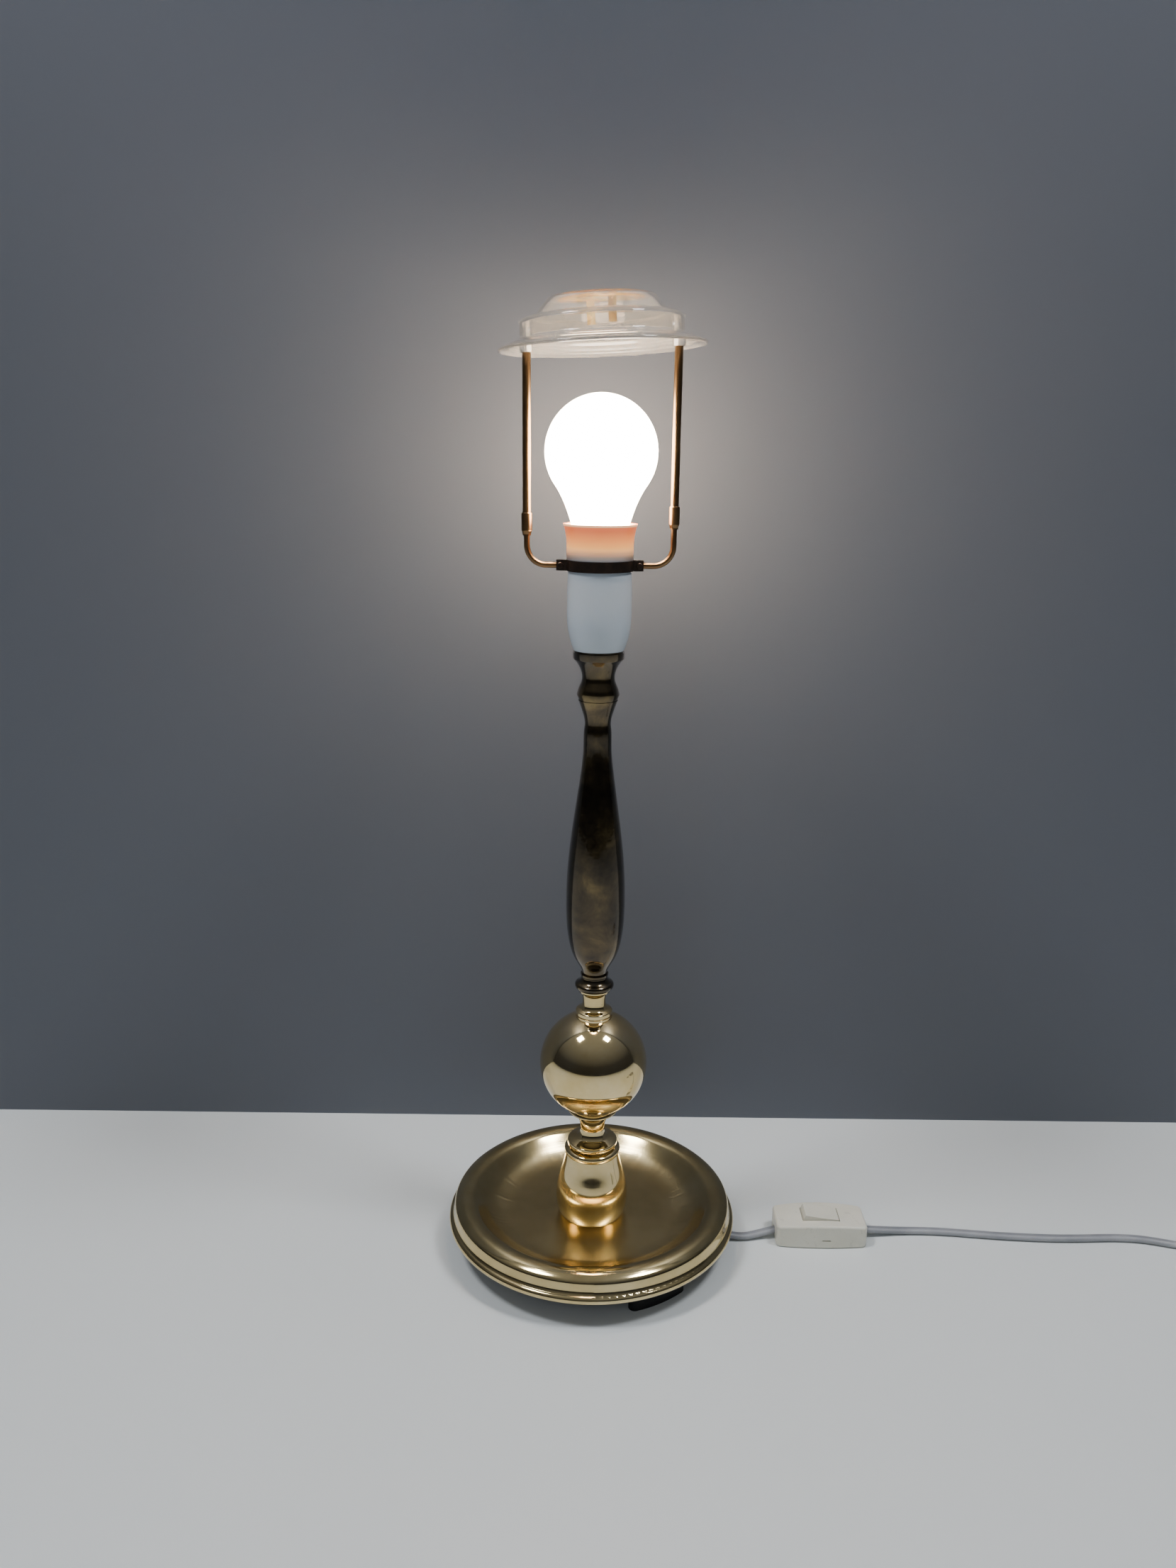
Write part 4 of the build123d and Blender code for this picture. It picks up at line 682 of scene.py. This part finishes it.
for name in [
    "base_dish", "pedestal_bell", "pedestal_ring", "lower_spool",
    "ball_lower_half", "ball_upper_half", "upper_spool", "column_foot_ring",
    "column_body", "holder_body", "holder_ring", "harp_arm_left", "harp_arm_right",
    "upper_tube_left", "upper_tube_right", "carrier_body", "carrier_top", "bulb_globe",
    "bottom_cover", "switch_top", "switch_bottom", "switch_rocker", "plug_body",
]:
    smoothCopy(name)
print("smooth pieces made")


# a profile in millimetres, spun about the upright axis
def lathe(profile, middle, steps):
    build = bmesh.new()
    verts = [build.verts.new((radius * mm, 0, height * mm)) for radius, height in profile]
    edges = [build.edges.new(pair) for pair in zip(verts, verts[1:])]
    bmesh.ops.spin(
        build, geom=verts + edges, cent=(0, 0, 0), axis=(0, 0, 1), angle=2 * math.pi, steps=steps,
        use_merge=True,
    )
    bmesh.ops.remove_doubles(build, verts=build.verts, dist=0.00002 * mm)
    bmesh.ops.recalc_face_normals(build, faces=build.faces)
    bmesh.ops.translate(build, verts=build.verts, vec=middle)
    return build


# knurled collets that clamp the tubes on the arms, in millimetres; shares are of the length or the radius
collet = {
    "bore": 2.3, "foot": 0.2, "footEdge": 0.72, "footStart": 0.76, "footRise": 0.3, "shoulder": 0.9,
    "step": 0.12, "topBevel": 0.6, "topStep": 0.35,
    "diamonds": 20, "depth": 0.16, "pitch": 0.95, "groove": 3.84, "steps": 80, "rings": 34,
}


def makeCollet(name):
    low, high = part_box(name)
    middle = Vector(((low.x + high.x) / 2, (low.y + high.y) / 2, low.z))
    length, radius = (high.z - low.z) / mm, (high.x - low.x) / 2 / mm
    bore, foot, top = collet["bore"], collet["foot"] * length, length - collet["topBevel"]
    profile = [
        (bore, 0), (radius * collet["footEdge"], 0),
        (radius * collet["footStart"], collet["footRise"]),
    ]
    profile += [(radius * collet["shoulder"], foot * 0.8), (radius - collet["step"], foot)]
    profile += [(radius, foot + (top - foot) * i / collet["rings"]) for i in range(collet["rings"] + 1)]
    profile += [(radius - collet["topStep"], length), (bore, length), (bore, 0)]
    build = lathe(profile, (0, 0, 0), collet["steps"])
    for vert in build.verts:
        across = math.hypot(vert.co.x, vert.co.y) / mm
        height = vert.co.z / mm
        if across > radius - 0.05 and foot < height < top:  # the knurled stretch alone
            turn = math.atan2(vert.co.y, vert.co.x) * collet["diamonds"] / math.tau
            rise = height / collet["pitch"]
            left, right = (turn + rise) % 1, (turn - rise) % 1
            drop = collet["depth"] * (1 - min(1, collet["groove"] * min(left, 1 - left, right, 1 - right)))
            vert.co.x *= (across - drop) / across
            vert.co.y *= (across - drop) / across
    bmesh.ops.translate(build, verts=build.verts, vec=middle)
    return finishMesh(name + "_knurled", build, bodyOf[name], agedBrass, [name], 50)


for name in ("collet_left", "collet_right"):
    makeCollet(name)
print("collets knurled")

# ribbed boot that keeps the cord from kinking at the plug, in millimetres; the last three are shares of
# a rib's step
boot = {
    "length": 15.0, "ribs": 6, "thickEnd": 4.7, "thinEnd": 3.5, "ribDepth": 0.45, "bore": 2.75,
    "flatness": 0.8, "steps": 40, "ribTop": 0.55, "ribFoot": 0.62, "gapEnd": 0.93,
}


def makeBoot(neck, ahead):
    step = boot["length"] / boot["ribs"]
    profile = []
    for rib in range(boot["ribs"]):
        radius = boot["thickEnd"] + (boot["thinEnd"] - boot["thickEnd"]) * rib / (boot["ribs"] - 1)
        start = rib * step
        valley = radius - boot["ribDepth"]
        profile += [(radius, start), (radius, start + boot["ribTop"] * step)]
        profile += [(valley, start + boot["ribFoot"] * step), (valley, start + boot["gapEnd"] * step)]
    profile += [
        (boot["thinEnd"] - boot["ribDepth"], boot["length"]), (boot["bore"], boot["length"]),
        (boot["bore"], 0), profile[0],
    ]
    build = lathe(profile, (0, 0, 0), boot["steps"])
    along = (Vector(ahead) - Vector(neck)).normalized()
    across = along.cross(Vector((0, 0, 1))).normalized()
    turned = Matrix((across.cross(along), across, along)).transposed()
    bmesh.ops.scale(build, vec=(boot["flatness"], 1, 1), verts=build.verts)
    bmesh.ops.transform(
        build, matrix=Matrix.Translation(Vector(neck) * mm) @ turned.to_4x4(), verts=build.verts,
    )
    bmesh.ops.recalc_face_normals(build, faces=build.faces)
    return finishMesh("plug_boot", build, "lamp", plugPvc, (), 40)


plugBoot = makeBoot(endRoute[-1], endRoute[-2])

# nylon strap that holds the coil together, in millimetres: a rounded loop about the coil's section
tie = {
    "angle": 205.0, "inner": 21.9, "outer": 38.8, "top": 10.6, "width": 7.0, "thick": 0.6,
    "corner": 2.5, "cornerSteps": 4,
}


def makeTie():
    build = bmesh.new()
    turn = math.radians(tie["angle"])
    out, side = Vector((math.cos(turn), math.sin(turn), 0)), Vector((-math.sin(turn), math.cos(turn), 0))
    middle = Vector((*coil["centre"], 0)) - side * tie["width"] / 2
    corners = [
        (tie["outer"], tie["top"], 0), (tie["inner"], tie["top"], 90), (tie["inner"], 0, 180),
        (tie["outer"], 0, 270),
    ]
    edges = []
    for size in (tie["corner"], tie["corner"] - tie["thick"]):
        verts = []
        for radial, height, first in corners:
            inward = tie["corner"] if radial == tie["inner"] else -tie["corner"]
            down = tie["corner"] if height == 0 else -tie["corner"]
            for step in range(tie["cornerSteps"] + 1):
                bend = math.radians(first + 90 * step / tie["cornerSteps"])
                place = out * (radial + inward + size * math.cos(bend)) + Vector(
                    (0, 0, height + down + size * math.sin(bend)),
                )
                verts.append(build.verts.new((middle + place) * mm))
        edges += [build.edges.new(pair) for pair in zip(verts, verts[1:] + verts[:1])]
    bmesh.ops.bridge_loops(build, edges=edges)
    drawn = bmesh.ops.extrude_face_region(build, geom=build.faces[:])
    bmesh.ops.translate(
        build, verts=[part for part in drawn["geom"] if isinstance(part, bmesh.types.BMVert)],
        vec=side * tie["width"] * mm,
    )
    bmesh.ops.recalc_face_normals(build, faces=build.faces)
    return finishMesh("coil_tie", build, "lamp", blackPlastic, (), 30)


coilTie = makeTie()

# stage, in metres: pale top, plain wall behind it, two soft lights overhead and a weak fill that no
# brass mirrors
stage = {
    "backEdge": 0.142, "frontEdge": -2.2, "halfWidth": 2.4, "wallTop": 2.2, "lightHeight": 1.8,
    "lightSpread": 0.8, "lightSize": 0.34, "lightPower": 15.0, "lightBack": -0.3,
    "fillPlace": (-0.5, -1.9, 1.3), "fillSize": 0.9, "fillPower": 5.0, "topDrop": 0.0002,
    "wallFoot": -0.3,
}


def stagePlane(name, corners, material):
    build = bmesh.new()
    build.faces.new([build.verts.new(c) for c in corners])
    mesh = bpy.data.meshes.new(name)
    build.to_mesh(mesh)
    build.free()
    piece = bpy.data.objects.new(name, mesh)
    bpy.context.scene.collection.objects.link(piece)
    mesh.materials.append(material)


# pressed laminate: pale and satin
paleTop = startMaterial("laminatePale", {"Base Color": "#e2e6e3", "Roughness": 0.42, "IOR": 1.5})[0]
# rolled wall paint: dark grey and matt, see-through from behind so that the lamp shows from every side
wallPaint, tree, shader, place = startMaterial(
    "paintGreyMatt", {"Base Color": "#5c6067", "Roughness": 0.55},
)
behind = addNode(tree, "ShaderNodeNewGeometry")
clearBack = addNode(tree, "ShaderNodeBsdfTransparent")
oneSided = addNode(
    tree, "ShaderNodeMixShader", {},
    {0: behind.outputs["Backfacing"], 1: shader.outputs["BSDF"], 2: clearBack.outputs["BSDF"]},
)
tree.links.new(oneSided.outputs["Shader"], tree.nodes["Material Output"].inputs["Surface"])
wide, front, back = stage["halfWidth"], stage["frontEdge"], stage["backEdge"]
low, foot, high = -stage["topDrop"], stage["wallFoot"], stage["wallTop"]
stagePlane(
    "floor", [(-wide, front, low), (wide, front, low), (wide, back, low), (-wide, back, low)],
    paleTop,
)
stagePlane(
    "wall", [(-wide, back, foot), (wide, back, foot), (wide, back, high), (-wide, back, high)],
    wallPaint,
)


def softLight(name, place, aim, size, power, colour, shows=True):
    data = bpy.data.lights.new(name, "AREA")
    data.size, data.energy, data.color = size, power, hexColour(colour)[:3]
    light = bpy.data.objects.new(name, data)
    bpy.context.scene.collection.objects.link(light)
    light.location = place
    light.visible_glossy = shows
    light.rotation_euler = (Vector(aim) - Vector(place)).to_track_quat("-Z", "Y").to_euler()


for side in (-1, 1):
    softLight(
        f"overhead{side}", (side * stage["lightSpread"], stage["lightBack"], stage["lightHeight"]),
        (0, 0, 0.1), stage["lightSize"], stage["lightPower"], "#f4f7ff",
    )
softLight(
    "frontFill", stage["fillPlace"], (0, 0, 0.2), stage["fillSize"], stage["fillPower"], "#eef3ff",
    shows=False,
)

world = bpy.data.worlds.new("studio")
bpy.context.scene.world = world
world.use_nodes = True
tree = world.node_tree
coords = addNode(tree, "ShaderNodeTexCoord")
parts = addNode(tree, "ShaderNodeSeparateXYZ", {}, {0: coords.outputs["Generated"]})
sky = addNode(
    tree, "ShaderNodeValToRGB", {}, {"Fac": parts.outputs["Z"]},
    [(0.0, "#2c2e33"), (0.25, "#34363b"), (0.7, "#6f7276"), (1.0, "#8c8f92")],
)
tree.links.new(sky.outputs["Color"], tree.nodes["Background"].inputs["Color"])
tree.nodes["Background"].inputs["Strength"].default_value = 1.0
print("stage and lights set")
